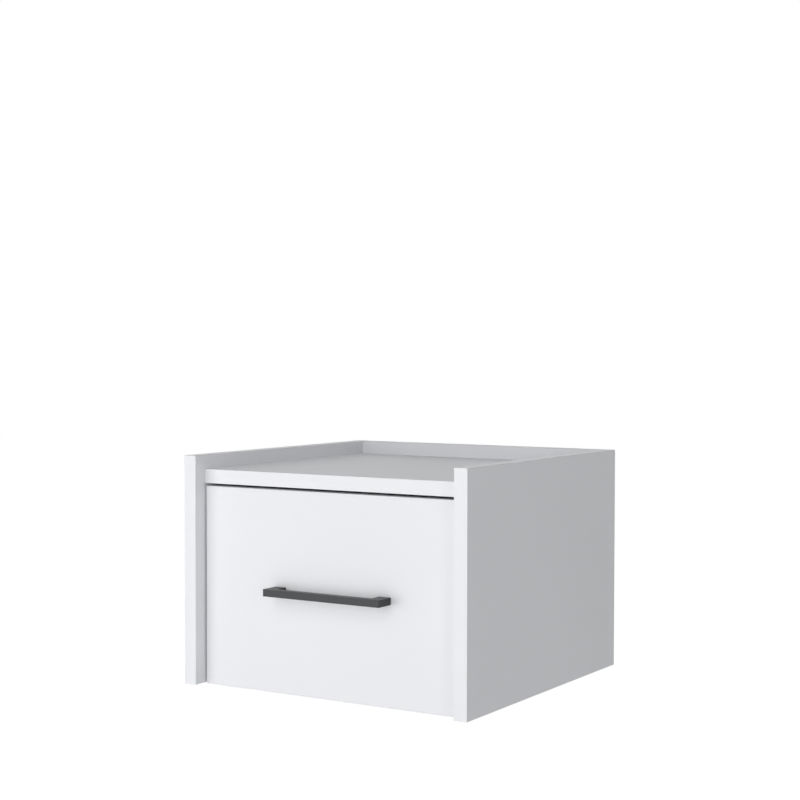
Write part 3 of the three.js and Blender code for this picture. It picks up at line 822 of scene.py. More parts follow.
def fibre_finish():
    material, net, shader = new_finish("hardboard_fibre")
    fuzz = noise(net, object_place(net, FIBRE_STRETCH), detail=4.0)
    net.feed(shader, {
        "Base Color": blended(net, fuzz, FIBRE_PALE, FIBRE_DARK),
        "Roughness": between(FIBRE_ROUGHNESS, fuzz),
        "Normal": bump(net, fuzz, FIBRE_HEIGHT, strength=0.7),
    })
    return material


def make_drawer_floor():
    low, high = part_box("drawer_floor")
    sheet = bmesh.new()
    add_block(sheet, low, high)
    sheet.normal_update()
    for face in sheet.faces:
        face.material_index = 0 if abs(face.normal.z) > ALIGNED else 1
    piece = mesh_object("finished_drawer_floor", sheet, [lacquer_finish(), fibre_finish()])
    return finished(piece, "drawer", "white_floor", "drawer_floor")


print("floor:", make_drawer_floor().name)

# %% [markdown]
# The pull is a die-cast bar with a dark graphite coat. A very fine grain runs along the bar, and
# the coat is a little thinner and brighter where it was rubbed.

# %% Graphite coat
GRAPHITE = (0.035, 0.036, 0.039, 1.0)
GRAPHITE_WORN = (0.043, 0.044, 0.047, 1.0)
GRAPHITE_ROUGHNESS = (0.36, 0.48)
GRAIN_STRETCH = (60.0, 2400.0, 2400.0)
GRAIN_HEIGHT = 0.02 * MM


def graphite_finish():
    material, net, shader = new_finish("graphite_coat", Specular_IOR_Level=0.28)
    grain = noise(net, object_place(net, GRAIN_STRETCH), detail=3.0)
    cloud = noise(net, object_place(net), scale=60.0)
    net.feed(shader, {
        "Base Color": blended(net, cloud, GRAPHITE, GRAPHITE_WORN),
        "Roughness": between(GRAPHITE_ROUGHNESS, grain),
        "Normal": bump(net, grain, GRAIN_HEIGHT, strength=0.6),
    })
    return material


graphite = graphite_finish()
print("finish:", graphite.name)

# %% [markdown]
# The pull's outline is drawn from above, extruded to the bar's height and then bevelled all round,
# because a real one has no knife edges: its long edges are what the lamp draws as thin lines. The
# inner corners, where the legs meet the bar, are rounded in the outline itself.

# %% Pull
PULL_LEG_WIDTH = 13.5 * MM
PULL_BAR_DEPTH = 8.0 * MM
PULL_CORNER = 0.5 * MM
PULL_CORNER_STEPS = 6
PULL_EDGE = 0.25 * MM
PULL_EDGE_STEPS = 3


def corner_arc(centre, radius, start, end, steps):
    """Points round a corner, from one angle to another in degrees."""
    angles = [math.radians(start + (end - start) * i / steps) for i in range(steps + 1)]
    return [
        Vector((centre[0] + radius * math.cos(angle), centre[1] + radius * math.sin(angle)))
        for angle in angles
    ]


def add_prism(shape, rim, way):
    """A solid between an outline and the same outline moved along a vector."""
    base = shape.faces.new([shape.verts.new(point) for point in rim])
    raised = bmesh.ops.extrude_face_region(shape, geom=[base])
    lifted = [part for part in raised["geom"] if isinstance(part, bmesh.types.BMVert)]
    bmesh.ops.translate(shape, verts=lifted, vec=way)
    bmesh.ops.recalc_face_normals(shape, faces=shape.faces[:])


def pull_outline(low, high):
    """The pull from above, anticlockwise from its left foot's outer corner."""
    r, steps = PULL_CORNER, PULL_CORNER_STEPS
    bar_rear = low.y + PULL_BAR_DEPTH
    inner_left, inner_right = low.x + PULL_LEG_WIDTH, high.x - PULL_LEG_WIDTH
    return [
        Vector((low.x, high.y)),
        *corner_arc((low.x + r, low.y + r), r, 180, 270, steps),
        *corner_arc((high.x - r, low.y + r), r, 270, 360, steps),
        Vector((high.x, high.y)),
        Vector((inner_right, high.y)),
        *corner_arc((inner_right - r, bar_rear + r), r, 0, -90, steps),
        *corner_arc((inner_left + r, bar_rear + r), r, -90, -180, steps),
        Vector((inner_left, high.y)),
    ]


def make_pull():
    low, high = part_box("drawer_pull")
    bar = bmesh.new()
    rim = [(point.x, point.y, low.z) for point in pull_outline(low, high)]
    add_prism(bar, rim, (0, 0, high.z - low.z))
    clear_of_front = [
        edge for edge in bar.edges if min(vertex.co.y for vertex in edge.verts) < high.y - SLIGHT
    ]
    bevel(bar, clear_of_front, PULL_EDGE, PULL_EDGE_STEPS)
    piece = mesh_object("finished_drawer_pull", bar, [graphite])
    cutter = bmesh.new()
    for side in ("left", "right"):
        bore_for(cutter, "drawer_pull", f"pull_{side}_screw")
    cut_out(piece, cutter, graphite)
    smooth_flat_faces(piece)
    return finished(piece, "drawer", "graphite_pull", "drawer_pull")


print("pull:", len(make_pull().data.polygons), "faces")

# %% [markdown]
# Metals. Runners and screws are bright zinc plate, which is a little blue and keeps the fine lines
# of the rolled sheet. The cams are die-cast zinc, duller and greyer, with a skin like fine sand.
# Balls are hard polished steel. Each fitting carries its own coordinates in an attribute, so that
# its marks turn with it wherever it is put.

# %% Metals
ZINC_BRIGHT = (0.74, 0.755, 0.785, 1.0)
ZINC_CLOUDY = (0.62, 0.63, 0.65, 1.0)
CAST_PALE = (0.50, 0.51, 0.53, 1.0)
CAST_DARK = (0.38, 0.385, 0.40, 1.0)
STEEL_BRIGHT = (0.80, 0.80, 0.81, 1.0)
STEEL_GREY = (0.66, 0.66, 0.67, 1.0)
OWN_PLACE = "own_place"  # attribute with a small fitting's own coordinates


def own_place(net, stretch):
    return stored_place(net, OWN_PLACE, stretch)


def metal_finish(name, place, stretch, cloud_scale, colours, roughness, relief):
    """A metal whose fine marks follow a place, and whose tone drifts slowly."""
    material, net, shader = new_finish(name, Metallic=1.0)
    marks = noise(net, place(net, stretch), detail=3.0)
    cloud = noise(net, object_place(net), cloud_scale, detail=3.0)
    drift = (roughness[1] - roughness[0]) / 2
    net.feed(shader, {
        "Base Color": blended(net, cloud, *colours),
        "Roughness": between(roughness, marks) + cloud * drift,
        "Normal": bump(net, marks, relief, strength=0.5),
    })
    return material


rolled_zinc = metal_finish(
    "rolled_zinc_plate", object_place, stretch=(1500.0, 22.0, 1500.0), cloud_scale=55.0,
    colours=(ZINC_BRIGHT, ZINC_CLOUDY), roughness=(0.24, 0.40), relief=0.008 * MM,
)
turned_zinc = metal_finish(
    "turned_zinc_plate", own_place, stretch=(2400.0, 300.0, 300.0), cloud_scale=160.0,
    colours=(ZINC_BRIGHT, ZINC_CLOUDY), roughness=(0.22, 0.38), relief=0.008 * MM,
)
cast_zinc = metal_finish(
    "cast_zinc", own_place, stretch=(1700.0, 1700.0, 1700.0), cloud_scale=120.0,
    colours=(CAST_PALE, CAST_DARK), roughness=(0.38, 0.58), relief=0.02 * MM,
)
cage_steel = metal_finish(
    "cage_steel", object_place, stretch=(900.0, 60.0, 900.0), cloud_scale=90.0,
    colours=(STEEL_BRIGHT, STEEL_GREY), roughness=(0.26, 0.42), relief=0.006 * MM,
)
ball_steel = metal_finish(
    "ball_steel", object_place, stretch=(700.0, 700.0, 700.0), cloud_scale=200.0,
    colours=(STEEL_BRIGHT, STEEL_GREY), roughness=(0.08, 0.16), relief=0.002 * MM,
)
for metal in (rolled_zinc, turned_zinc, cast_zinc, cage_steel, ball_steel):
    print("metal:", metal.name)

# %% [markdown]
# Geometry Nodes make the pieces that follow a rule or come in sets. Each tree has named inputs,
# and one function runs it: it sets the inputs on a modifier, takes the result as a plain mesh and
# removes the modifier. Doubles are merged before the faces are turned outwards.

# %% Shape trees
MERGE_DISTANCE = 0.002 * MM


def shape_tree(name, inputs):
    """An empty Geometry Nodes tree with named inputs, as its net and what it is given."""
    tree = bpy.data.node_groups.new(name, "GeometryNodeTree")
    for label, kind in inputs.items():
        tree.interface.new_socket(label, in_out="INPUT", socket_type=f"NodeSocket{kind}")
    tree.interface.new_socket("Geometry", in_out="OUTPUT", socket_type="NodeSocketGeometry")
    net = Net(tree)
    return net, net.add("NodeGroupInput")


def give_out(net, shape, finish):
    """Ends a tree: instances are realized and the finish is set."""
    whole = net.add("GeometryNodeRealizeInstances", None, {"Geometry": shape})
    dressed = net.add("GeometryNodeSetMaterial", None, {"Geometry": whole, "Material": finish})
    net.add("NodeGroupOutput", None, {"Geometry": dressed})


def grow(net, name, **values):
    """Runs a tree and gives its result as a plain object. Input names have _ for a space."""
    piece = mesh_object(name, bmesh.new(), [])
    modifier = piece.modifiers.new("shape", "NODES")
    modifier.node_group = net.tree
    for item in net.tree.interface.items_tree:
        key = item.name.replace(" ", "_")
        if item.in_out == "INPUT" and key in values:
            modifier[item.identifier] = values[key]
    settle(piece)
    close_up(piece.data)
    keep_used_finishes(piece.data)
    return piece


def keep_used_finishes(mesh):
    """Drops the material slots that no face uses."""
    numbers = [face.material_index for face in mesh.polygons]
    used = sorted(set(numbers))
    finishes = [mesh.materials[number] for number in used]
    mesh.materials.clear()
    for finish in finishes:
        mesh.materials.append(finish)
    mesh.polygons.foreach_set("material_index", [used.index(number) for number in numbers])


def close_up(mesh):
    """Merges doubles and then turns every face outwards."""
    shape = bmesh.new()
    shape.from_mesh(mesh)
    bmesh.ops.remove_doubles(shape, verts=shape.verts[:], dist=MERGE_DISTANCE)
    bmesh.ops.recalc_face_normals(shape, faces=shape.faces[:])
    shape.to_mesh(mesh)
    shape.free()


def guide(name, points, edges=(), **attributes):
    """A helper object that a tree reads, with attributes on its points."""
    mesh = bpy.data.meshes.new(name)
    mesh.from_pydata(points, edges, [])
    for key, values in attributes.items():
        kind = "FLOAT" if isinstance(values[0], float) else "FLOAT_VECTOR"
        attribute = mesh.attributes.new(key, kind, "POINT")
        for item, value in zip(attribute.data, values):
            setattr(item, "value" if kind == "FLOAT" else "vector", value)
    helper = bpy.data.objects.new(name, mesh)
    bpy.context.scene.collection.objects.link(helper)
    return helper


def retire(*helpers):
    for helper in helpers:
        bpy.data.objects.remove(helper)


def geometry_of(net, given, label):
    """The mesh of an object input of a tree."""
    info = net.add("GeometryNodeObjectInfo", None, {"Object": given.output(label)})
    return info.output("Geometry")


# %% [markdown]
# Screws, bolts, cams and dowels are turned pieces: a profile goes round the X axis, which runs
# from the head inwards. The tree lays a grid, one row for each point of the profile, and rolls it
# into a tube. A thread needs no second shape. Its rows repeat with the pitch, each turn slides
# them on by one pitch, and past the thread's ends they pile up and merge, so that the ridge starts
# and stops on the surface. A dowel's flutes are every second row of points drawn in a little.

# %% Turned pieces
FULL_TURN = 2 * math.pi
THREAD_PROFILE = ((0.0, 0.0), (0.3, 0.0), (0.5, 1.0), (0.7, 0.0))  # shares of pitch and height


def turned_tree():
    net, given = shape_tree("turned_piece", {
        "Profile": "Object", "Rows": "Int", "Sides": "Int", "Pitch": "Float",
        "Thread start": "Float", "Thread end": "Float", "Flute depth": "Float",
        "Finish": "Material",
    })
    rows, sides, pitch = given.output("Rows"), given.output("Sides"), given.output("Pitch")
    start, end = given.output("Thread start"), given.output("Thread end")
    grid = net.add("GeometryNodeMeshGrid", None, {"Vertices X": sides + 1, "Vertices Y": rows})
    index = net.add("GeometryNodeInputIndex")
    row = index.worked_out("MODULO", rows)
    step = (index / rows).worked_out("FLOOR")
    share = step / sides
    profile = geometry_of(net, given, "Profile")

    def sampled(kind, value):
        settings = {"data_type": kind, "domain": "POINT"}
        return net.add("GeometryNodeSampleIndex", settings, {
            "Geometry": profile, "Value": value, "Index": row,
        })

    def stored(name):
        named = net.add("GeometryNodeInputNamedAttribute", {"data_type": "FLOAT"}, {"Name": name})
        return sampled("FLOAT", named)

    point = sampled("FLOAT_VECTOR", net.add("GeometryNodeInputPosition"))
    point = net.add("ShaderNodeSeparateXYZ", None, {0: point})
    along, radius = point.output("X"), point.output("Y")
    threaded, ridge = stored("threaded"), stored("ridge")
    slid = (along - pitch * (1 - share)).worked_out("MINIMUM", end).worked_out("MAXIMUM", start)
    place = along + (slid - along) * threaded
    from_ends = (place - start).worked_out("MINIMUM", end - place)
    full = (from_ends / pitch).worked_out("MAXIMUM", 0).worked_out("MINIMUM", 1)
    flute = 1 - step.worked_out("MODULO", 2) * given.output("Flute depth")
    reach = (radius + ridge * full * threaded) * flute
    angle = share * FULL_TURN
    across, upward = reach * angle.worked_out("COSINE"), reach * angle.worked_out("SINE")
    rolled = net.add("ShaderNodeCombineXYZ", None, {"X": place, "Y": across, "Z": upward})
    tube = net.add("GeometryNodeSetPosition", None, {
        "Geometry": grid.output("Mesh"), "Position": rolled,
    })
    closed = net.add("GeometryNodeMergeByDistance", None, {
        "Geometry": tube, "Distance": MERGE_DISTANCE,
    })
    give_out(net, closed, given.output("Finish"))
    return net


TURNED = turned_tree()


def turned(name, finish, before, after=(), thread=None, sides=24, flute_depth=0.0):
    """A turned piece: plain rows, then a thread (start, end, pitch, root, crest), then rows."""
    rows = [(along, radius, 0.0, 0.0) for along, radius in before]
    start, end, pitch = 0.0, 1.0, 1.0
    if thread:
        start, end, pitch, root, crest = thread
        turns = math.ceil((end - start) / pitch) + 1
        rows += [
            (start + (turn + part) * pitch, root, 1.0, height * (crest - root))
            for turn in range(turns) for part, height in THREAD_PROFILE
        ]
        rows.append((end, root, 0.0, 0.0))
    rows += [(along, radius, 0.0, 0.0) for along, radius in after]
    profile = guide(
        f"{name}_profile", [(row[0], row[1], 0.0) for row in rows],
        threaded=[row[2] for row in rows], ridge=[row[3] for row in rows],
    )
    piece = grow(
        TURNED, name, Profile=profile, Rows=len(rows), Sides=sides, Pitch=pitch,
        Thread_start=start, Thread_end=end, Flute_depth=flute_depth, Finish=finish,
    )
    retire(profile)
    return piece


print("turned pieces:", len(TURNED.tree.nodes), "nodes")


# %% [markdown]
# A set of equal fittings is one pattern put at several places, each with its own turn. The places
# and directions come from the CAD nodes' boxes, so a fitting sits exactly where its node is.

# %% Sets of fittings
def set_tree():
    net, given = shape_tree("set_of_fittings", {
        "Pattern": "Object", "Places": "Object", "Finish": "Material",
    })
    pattern = geometry_of(net, given, "Pattern")
    settings = {"data_type": "FLOAT_VECTOR", "domain": "POINT"}
    pattern = net.add("GeometryNodeStoreNamedAttribute", settings, {
        "Geometry": pattern, "Name": OWN_PLACE, "Value": net.add("GeometryNodeInputPosition"),
    })
    turn = net.add(
        "GeometryNodeInputNamedAttribute", {"data_type": "FLOAT_VECTOR"}, {"Name": "turn"},
    )
    rotation = net.add("FunctionNodeEulerToRotation", None, {"Euler": turn})
    fittings = net.add("GeometryNodeInstanceOnPoints", None, {
        "Points": geometry_of(net, given, "Places"), "Instance": pattern, "Rotation": rotation,
    })
    give_out(net, fittings, given.output("Finish"))
    return net


SET = set_tree()
INWARD = {
    "left": Vector((1, 0, 0)), "right": Vector((-1, 0, 0)), "down": Vector((0, 0, -1)),
    "up": Vector((0, 0, 1)), "front": Vector((0, -1, 0)), "rear": Vector((0, 1, 0)),
}


def outer_end(node, direction):
    """The middle of the end of a node's box that faces against a direction."""
    low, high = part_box(node)
    half = (high - low) / 2
    return (low + high) / 2 - direction * half


def axes_turn(direction, sideways):
    """The turn that puts a fitting's X axis along one direction and its Y along another."""
    third = direction.cross(sideways)
    return tuple(Matrix((direction, sideways, third)).transposed().to_euler())


def rolled_turn(direction, degrees):
    """The turn that puts X along a direction, rolled about it."""
    roll = Matrix.Rotation(math.radians(degrees), 3, "X")
    return tuple((direction.to_track_quat("X", "Z").to_matrix() @ roll).to_euler())


def fitting_set(name, pattern, finish, body, slot, placed):
    """One piece for a set of equal fittings. placed gives a place and a turn for each node."""
    places = guide(
        f"{name}_places", [placed[node][0] for node in placed],
        turn=[Vector(placed[node][1]) for node in placed],
    )
    piece = grow(SET, name, Pattern=pattern, Places=places, Finish=finish)
    retire(places)
    smooth_flat_faces(piece)
    return finished(piece, body, slot, *placed)


print("sets of fittings:", len(SET.tree.nodes), "nodes")

# %% [markdown]
# Screws. A runner's screw has a low pan head that the moving cage can pass, the screws of the
# drawer's back are countersunk chipboard screws, and the pull is held by two machine screws. Each
# head has a cross recess, cut by two crossed wedges, and each screw is rolled by another angle,
# because nobody drives two screws to the same stop.

# %% Screws
SCREW_ROOT_SHARE = 0.72  # of the thread's crest
TIP_LENGTH = 2.5 * MM
THREAD_GAP = 0.2 * MM  # under the head
RECESS_OVERRUN = 0.2 * MM
RECESS_REACH_SHARE = 0.45  # at the bottom of the recess
RECESS_WIDTH_SHARE = 0.8
HEAD_STEPS = 6
HEAD_DOME_SHARE = 0.75  # of the head's height
HEAD_TOP_SHARE = 0.62  # of the head's radius
HEAD_UNDERSIDE_SHARE = 0.97
FIRST_ROLL = 15.0  # degrees
ROLL_STEP = 37.0


def add_taper(cutter, start, end, half_start, half_end):
    """A block along X whose half sizes in Y and Z change from one end to the other."""
    made = bmesh.ops.create_cube(cutter, size=2.0)
    for vertex in made["verts"]:
        along, half = (end, half_end) if vertex.co.x > 0 else (start, half_start)
        vertex.co = Vector((along, vertex.co.y * half[0], vertex.co.z * half[1]))


def cut_cross(piece, finish, reach, width, depth):
    """A cross recess in the end at zero. reach and width are half sizes at the top."""
    cutter = bmesh.new()
    low_reach, low_width = reach * RECESS_REACH_SHARE, width * RECESS_WIDTH_SHARE
    add_taper(cutter, -RECESS_OVERRUN, depth, (reach, width), (low_reach, low_width))
    add_taper(cutter, -RECESS_OVERRUN, depth, (width, reach), (low_width, low_reach))
    cut_out(piece, cutter, finish)


def pan_head(radius, height):
    """Rows of a domed head, from its top to its underside."""
    rows = [(0.0, 0.0)]
    rise, spread = height * HEAD_DOME_SHARE, 1 - HEAD_TOP_SHARE
    for step in range(HEAD_STEPS + 1):
        angle = math.radians(90 * step / HEAD_STEPS)
        reach = radius * (HEAD_TOP_SHARE + spread * math.sin(angle))
        rows.append((rise * (1 - math.cos(angle)), reach))
    return rows + [(height, radius), (height, radius * HEAD_UNDERSIDE_SHARE)]


def screw_length(node):
    low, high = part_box(node)
    return max(high - low)


def pan_screw(name, length, head_radius, head_height, crest, pitch, tip_radius):
    root = crest * SCREW_ROOT_SHARE
    return turned(
        name, turned_zinc, pan_head(head_radius, head_height) + [(head_height, root)],
        [(length, tip_radius), (length, 0.0)],
        (head_height + THREAD_GAP, length - TIP_LENGTH, pitch, root, crest),
    )


def rolled_places(nodes, direction_of, first=FIRST_ROLL, step=ROLL_STEP):
    """Places and turns of fittings, each rolled on by a step from the one before."""
    placed = {}
    for number, node in enumerate(nodes):
        direction = direction_of(node)
        turn = rolled_turn(direction, first + step * number)
        placed[node] = (outer_end(node, direction), turn)
    return placed


def side_of(node):
    return "left" if "left" in node else "right"


def nodes_ending(*endings, without=None):
    names = [name for name in sorted(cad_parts) if name.endswith(endings)]
    return [name for name in names if without is None or without not in name]


# %% Runner screws
RUNNER_HEAD_RADIUS = 3.5 * MM
RUNNER_HEAD_HEIGHT = 1.5 * MM
RUNNER_SCREW_CREST = 1.75 * MM
RUNNER_SCREW_PITCH = 1.6 * MM
RUNNER_SCREW_TIP = 0.25 * MM
RUNNER_CROSS = (1.9 * MM, 0.42 * MM, 1.0 * MM)  # reach, half width, depth

case_screws = nodes_ending("_runner_screw", without="drawer")
drawer_screws = nodes_ending("_drawer_runner_screw")
runner_screw = pan_screw(
    "runner_screw_pattern", screw_length(case_screws[0]), RUNNER_HEAD_RADIUS, RUNNER_HEAD_HEIGHT,
    RUNNER_SCREW_CREST, RUNNER_SCREW_PITCH, RUNNER_SCREW_TIP,
)
cut_cross(runner_screw, turned_zinc, *RUNNER_CROSS)


def into_side_panel(node):
    return -INWARD[side_of(node)]


def into_drawer(node):
    return INWARD[side_of(node)]


case_set = fitting_set(
    "finished_case_runner_screws", runner_screw, turned_zinc, "case", "zinc_plate",
    rolled_places(case_screws, into_side_panel),
)
drawer_set = fitting_set(
    "finished_drawer_runner_screws", runner_screw, turned_zinc, "drawer", "zinc_plate",
    rolled_places(drawer_screws, into_drawer),
)
retire(runner_screw)
print("runner screws:", len(case_set.data.polygons), "and", len(drawer_set.data.polygons), "faces")

# %% Screws of the pull and of the drawer's back
PULL_HEAD_RADIUS = 4.0 * MM
PULL_HEAD_HEIGHT = 2.4 * MM
PULL_SCREW_CREST = 2.0 * MM
PULL_SCREW_PITCH = 0.7 * MM
PULL_SCREW_TIP = 1.3 * MM
PULL_CROSS = (2.3 * MM, 0.5 * MM, 1.5 * MM)
SUNK_HEAD_RADIUS = 3.5 * MM
SUNK_HEAD_HEIGHT = 2.4 * MM
SUNK_HEAD_EASE = 0.15 * MM
SUNK_HEAD_RIM = (0.1 * MM, 0.25 * MM)  # where the head is widest
SUNK_CREST = 1.75 * MM
SUNK_PITCH = 1.8 * MM
SUNK_SHANK_SHARE = 0.35  # of its length without a thread
SUNK_SHANK_SWELL = 1.1  # of the thread's root
SUNK_SHANK_TAPER = 0.4 * MM
SUNK_THREAD_GAP = 0.1 * MM
SUNK_TIP = 0.2 * MM
SUNK_CROSS = (1.9 * MM, 0.45 * MM, 1.6 * MM)

pull_nodes = nodes_ending("pull_left_screw", "pull_right_screw")
pull_screw = pan_screw(
    "pull_screw_pattern", screw_length(pull_nodes[0]), PULL_HEAD_RADIUS, PULL_HEAD_HEIGHT,
    PULL_SCREW_CREST, PULL_SCREW_PITCH, PULL_SCREW_TIP,
)
cut_cross(pull_screw, turned_zinc, *PULL_CROSS)
pull_set = fitting_set(
    "finished_pull_screws", pull_screw, turned_zinc, "drawer", "zinc_plate",
    rolled_places(pull_nodes, lambda node: INWARD["front"]),
)

back_nodes = [name for name in nodes_ending("_screw") if name.startswith("drawer_back")]
sunk_length = screw_length(back_nodes[0])
sunk_root = SUNK_CREST * SCREW_ROOT_SHARE
shank_end, shank_radius = sunk_length * SUNK_SHANK_SHARE, sunk_root * SUNK_SHANK_SWELL
sunk_screw = turned(
    "sunk_screw_pattern", turned_zinc,
    [
        (0.0, 0.0), (0.0, SUNK_HEAD_RADIUS - SUNK_HEAD_EASE),
        *((along, SUNK_HEAD_RADIUS) for along in SUNK_HEAD_RIM),
        (SUNK_HEAD_HEIGHT, shank_radius), (shank_end - SUNK_SHANK_TAPER, shank_radius),
        (shank_end, sunk_root),
    ],
    [(sunk_length, SUNK_TIP), (sunk_length, 0.0)],
    (shank_end + SUNK_THREAD_GAP, sunk_length - TIP_LENGTH, SUNK_PITCH, sunk_root, SUNK_CREST),
)
cut_cross(sunk_screw, turned_zinc, *SUNK_CROSS)
back_set = fitting_set(
    "finished_drawer_back_screws", sunk_screw, turned_zinc, "drawer", "zinc_plate",
    rolled_places(back_nodes, into_drawer),
)
retire(pull_screw, sunk_screw)
print("pull and back screws:", len(pull_set.data.polygons), "and", len(back_set.data.polygons))

# %% [markdown]
# Cams and their bolts pull the boards together. A cam is a drum of cast zinc that is turned from
# one face of the board with a screwdriver. Its wall has a long slot that hooks behind the head of
# the bolt, and a hollow for the head. The drum is a turned piece, and the slot and the hollow are
# sectors cut out of it. Their sizes leave no two points so close together that a merge could take
# them for one, and the points and faces are sorted by place, because so large a cut can leave them
# in another order each run.

# %% Cams
CAM_SIDES = 48
CAM_CHAMFER = 0.4 * MM
CAM_DISH = 0.3 * MM
CAM_SINK = 0.3 * MM
CAM_CROSS_WIDTH = 1.6 * MM
CAM_CROSS_DEPTH = 2.0 * MM
CAM_CROSS_SHARE = 0.62  # of the cam's diameter
HEAD_BORE = 2.8 * MM
HEAD_ROOM = 2.6 * MM  # half height of the hollow
HOLLOW_SHARES = (0.3, 0.75)  # of the cam's radius
HOLLOW_ANGLES = (-33, 178)  # degrees from the bolt
NECK_ROOM = 1.8 * MM  # half height of the slot
SLOT_SHARE = 0.45  # of the cam's radius, where the slot starts
SLOT_ANGLES = (-28, 185)
SECTOR_STEPS = 24
HEAD_PASSES = 1.45 * MM  # how far the bolt's head goes past the cam's middle


def add_sector(cutter, middle, half_height, radii, angles):
    """A part of a ring round the X axis, between two angles in degrees from the Y axis."""
    inner, outer = radii
    start, end = angles
    rim = corner_arc((0, 0), outer, start, end, SECTOR_STEPS)
    rim += corner_arc((0, 0), inner, end, start, SECTOR_STEPS)
    rim = [(middle - half_height, point.x, point.y) for point in rim]
    add_prism(cutter, rim, (2 * half_height, 0, 0))


def put_in_order(mesh):
    """Sorts points and faces by place."""
    shape = bmesh.new()
    shape.from_mesh(mesh)
    for number, vertex in enumerate(sorted(shape.verts, key=lambda vertex: tuple(vertex.co))):
        vertex.index = number
    shape.verts.sort()
    rings = []
    for face in shape.faces:
        ring = list(face.verts)
        first = ring.index(min(ring, key=lambda vertex: vertex.index))
        rings.append((ring[first:] + ring[:first], face.material_index))
    rings.sort(key=lambda item: [vertex.index for vertex in item[0]])
    bmesh.ops.delete(shape, geom=shape.edges[:], context="EDGES_FACES")
    for ring, material in rings:
        shape.faces.new(ring).material_index = material
    shape.to_mesh(mesh)
    shape.free()


def make_cam(name, node, board):
    """A cam whose X axis runs into the board and whose Y axis points to its bolt."""
    low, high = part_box(node)
    size = sorted(high - low)
    height, radius = size[0], size[2] / 2
    rim, beyond = radius - CAM_CHAMFER, radius + OVERRUN
    cam = turned(name, cast_zinc, [
        (CAM_DISH, 0.0), (CAM_DISH, rim - 3 * CAM_DISH), (0.0, rim - 2 * CAM_DISH), (0.0, rim),
        (CAM_CHAMFER, radius), (height - CAM_CHAMFER, radius), (height, rim), (height, 0.0),
    ], sides=CAM_SIDES)
    low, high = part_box(board)
    bolt_line = min(high - low) / 2 - CAM_SINK
    cutter = bmesh.new()
    add_sector(cutter, bolt_line, NECK_ROOM, (radius * SLOT_SHARE, beyond), SLOT_ANGLES)
    hollow = [radius * share for share in HOLLOW_SHARES]
    add_sector(cutter, bolt_line, HEAD_ROOM, hollow, HOLLOW_ANGLES)
    add_bore(cutter, 1, Vector((bolt_line, 0, 0)), HEAD_BORE, -HEAD_PASSES, beyond)
    cut_out(cam, cutter, cast_zinc)
    reach = radius * CAM_CROSS_SHARE
    cut_cross(cam, cast_zinc, reach, CAM_CROSS_WIDTH / 2, CAM_CROSS_DEPTH)
    put_in_order(cam.data)
    return cam


def cam_set(name, pattern, body, nodes, direction_of, to_bolt_of):
    placed = {}
    for node in nodes:
        direction, sideways = direction_of(node), to_bolt_of(node)
        placed[node] = (outer_end(node, direction), axes_turn(direction, sideways))
    return fitting_set(name, pattern, cast_zinc, body, "zinc_cast", placed)


case_cam_nodes = nodes_ending("_cam", without="drawer")
drawer_cam_nodes = nodes_ending("drawer_left_cam", "drawer_right_cam")
case_cam = make_cam("case_cam_pattern", case_cam_nodes[0], "top_shelf")
drawer_cam = make_cam("drawer_cam_pattern", drawer_cam_nodes[0], "drawer_left_side")
case_cams = cam_set(
    "finished_case_cams", case_cam, "case", case_cam_nodes,
    lambda node: INWARD["up" if node.startswith("shelf") else "down"],
    into_side_panel,
)
drawer_cams = cam_set(
    "finished_drawer_cams", drawer_cam, "drawer", drawer_cam_nodes,
    into_side_panel, lambda node: INWARD["front"],
)
retire(case_cam, drawer_cam)
print("cams:", len(case_cams.data.polygons), "and", len(drawer_cams.data.polygons), "faces")

# %% [markdown]
# A cam bolt has a head that the cam hooks, a thin neck, a plain shank, a collar that stops on the
# panel's face and a coarse thread that is driven in the panel.

# %% Cam bolts
BOLT_HEAD_RADIUS = 2.5 * MM
BOLT_HEAD_LENGTH = 2.4 * MM
BOLT_NECK_RADIUS = 1.5 * MM
BOLT_NECK_LENGTH = 4.0 * MM
BOLT_RADIUS = 2.2 * MM
BOLT_COLLAR_RADIUS = 3.4 * MM
BOLT_COLLAR_LENGTH = 1.4 * MM
BOLT_DEPTH = 10.75 * MM  # in the panel
BOLT_PITCH = 1.7 * MM
BOLT_EASE = 0.3 * MM
BOLT_TIP_SHARE = 0.8  # of the thread's root
BUTT_GAP = 0.1 * MM


def make_bolt(name, node):
    length = screw_length(node)
    root = BOLT_RADIUS * SCREW_ROOT_SHARE
    neck_end = BOLT_HEAD_LENGTH + BOLT_NECK_LENGTH
    collar_end = length - BOLT_DEPTH - BUTT_GAP
    collar_start = collar_end - BOLT_COLLAR_LENGTH
    return turned(
        name, turned_zinc,
        [
            (0.0, 0.0), (0.0, BOLT_HEAD_RADIUS - BOLT_EASE), (BOLT_EASE, BOLT_HEAD_RADIUS),
            (BOLT_HEAD_LENGTH - BOLT_EASE, BOLT_HEAD_RADIUS),
            (BOLT_HEAD_LENGTH, BOLT_HEAD_RADIUS - BOLT_EASE),
            (BOLT_HEAD_LENGTH, BOLT_NECK_RADIUS), (neck_end, BOLT_NECK_RADIUS),
            (neck_end, BOLT_RADIUS), (collar_start, BOLT_RADIUS),
            (collar_start, BOLT_COLLAR_RADIUS), (collar_end, BOLT_COLLAR_RADIUS),
            (collar_end, root),
        ],
        [(length, root * BOLT_TIP_SHARE), (length, 0.0)],
        (collar_end + BUTT_GAP, length - BOLT_EASE, BOLT_PITCH, root, BOLT_RADIUS),
    )


def bolt_set(name, body, nodes, direction_of):
    pattern = make_bolt(f"{name}_pattern", nodes[0])
    placed = rolled_places(nodes, direction_of, first=0.0, step=0.0)
    piece = fitting_set(name, pattern, turned_zinc, body, "zinc_plate", placed)
    retire(pattern)
    return piece


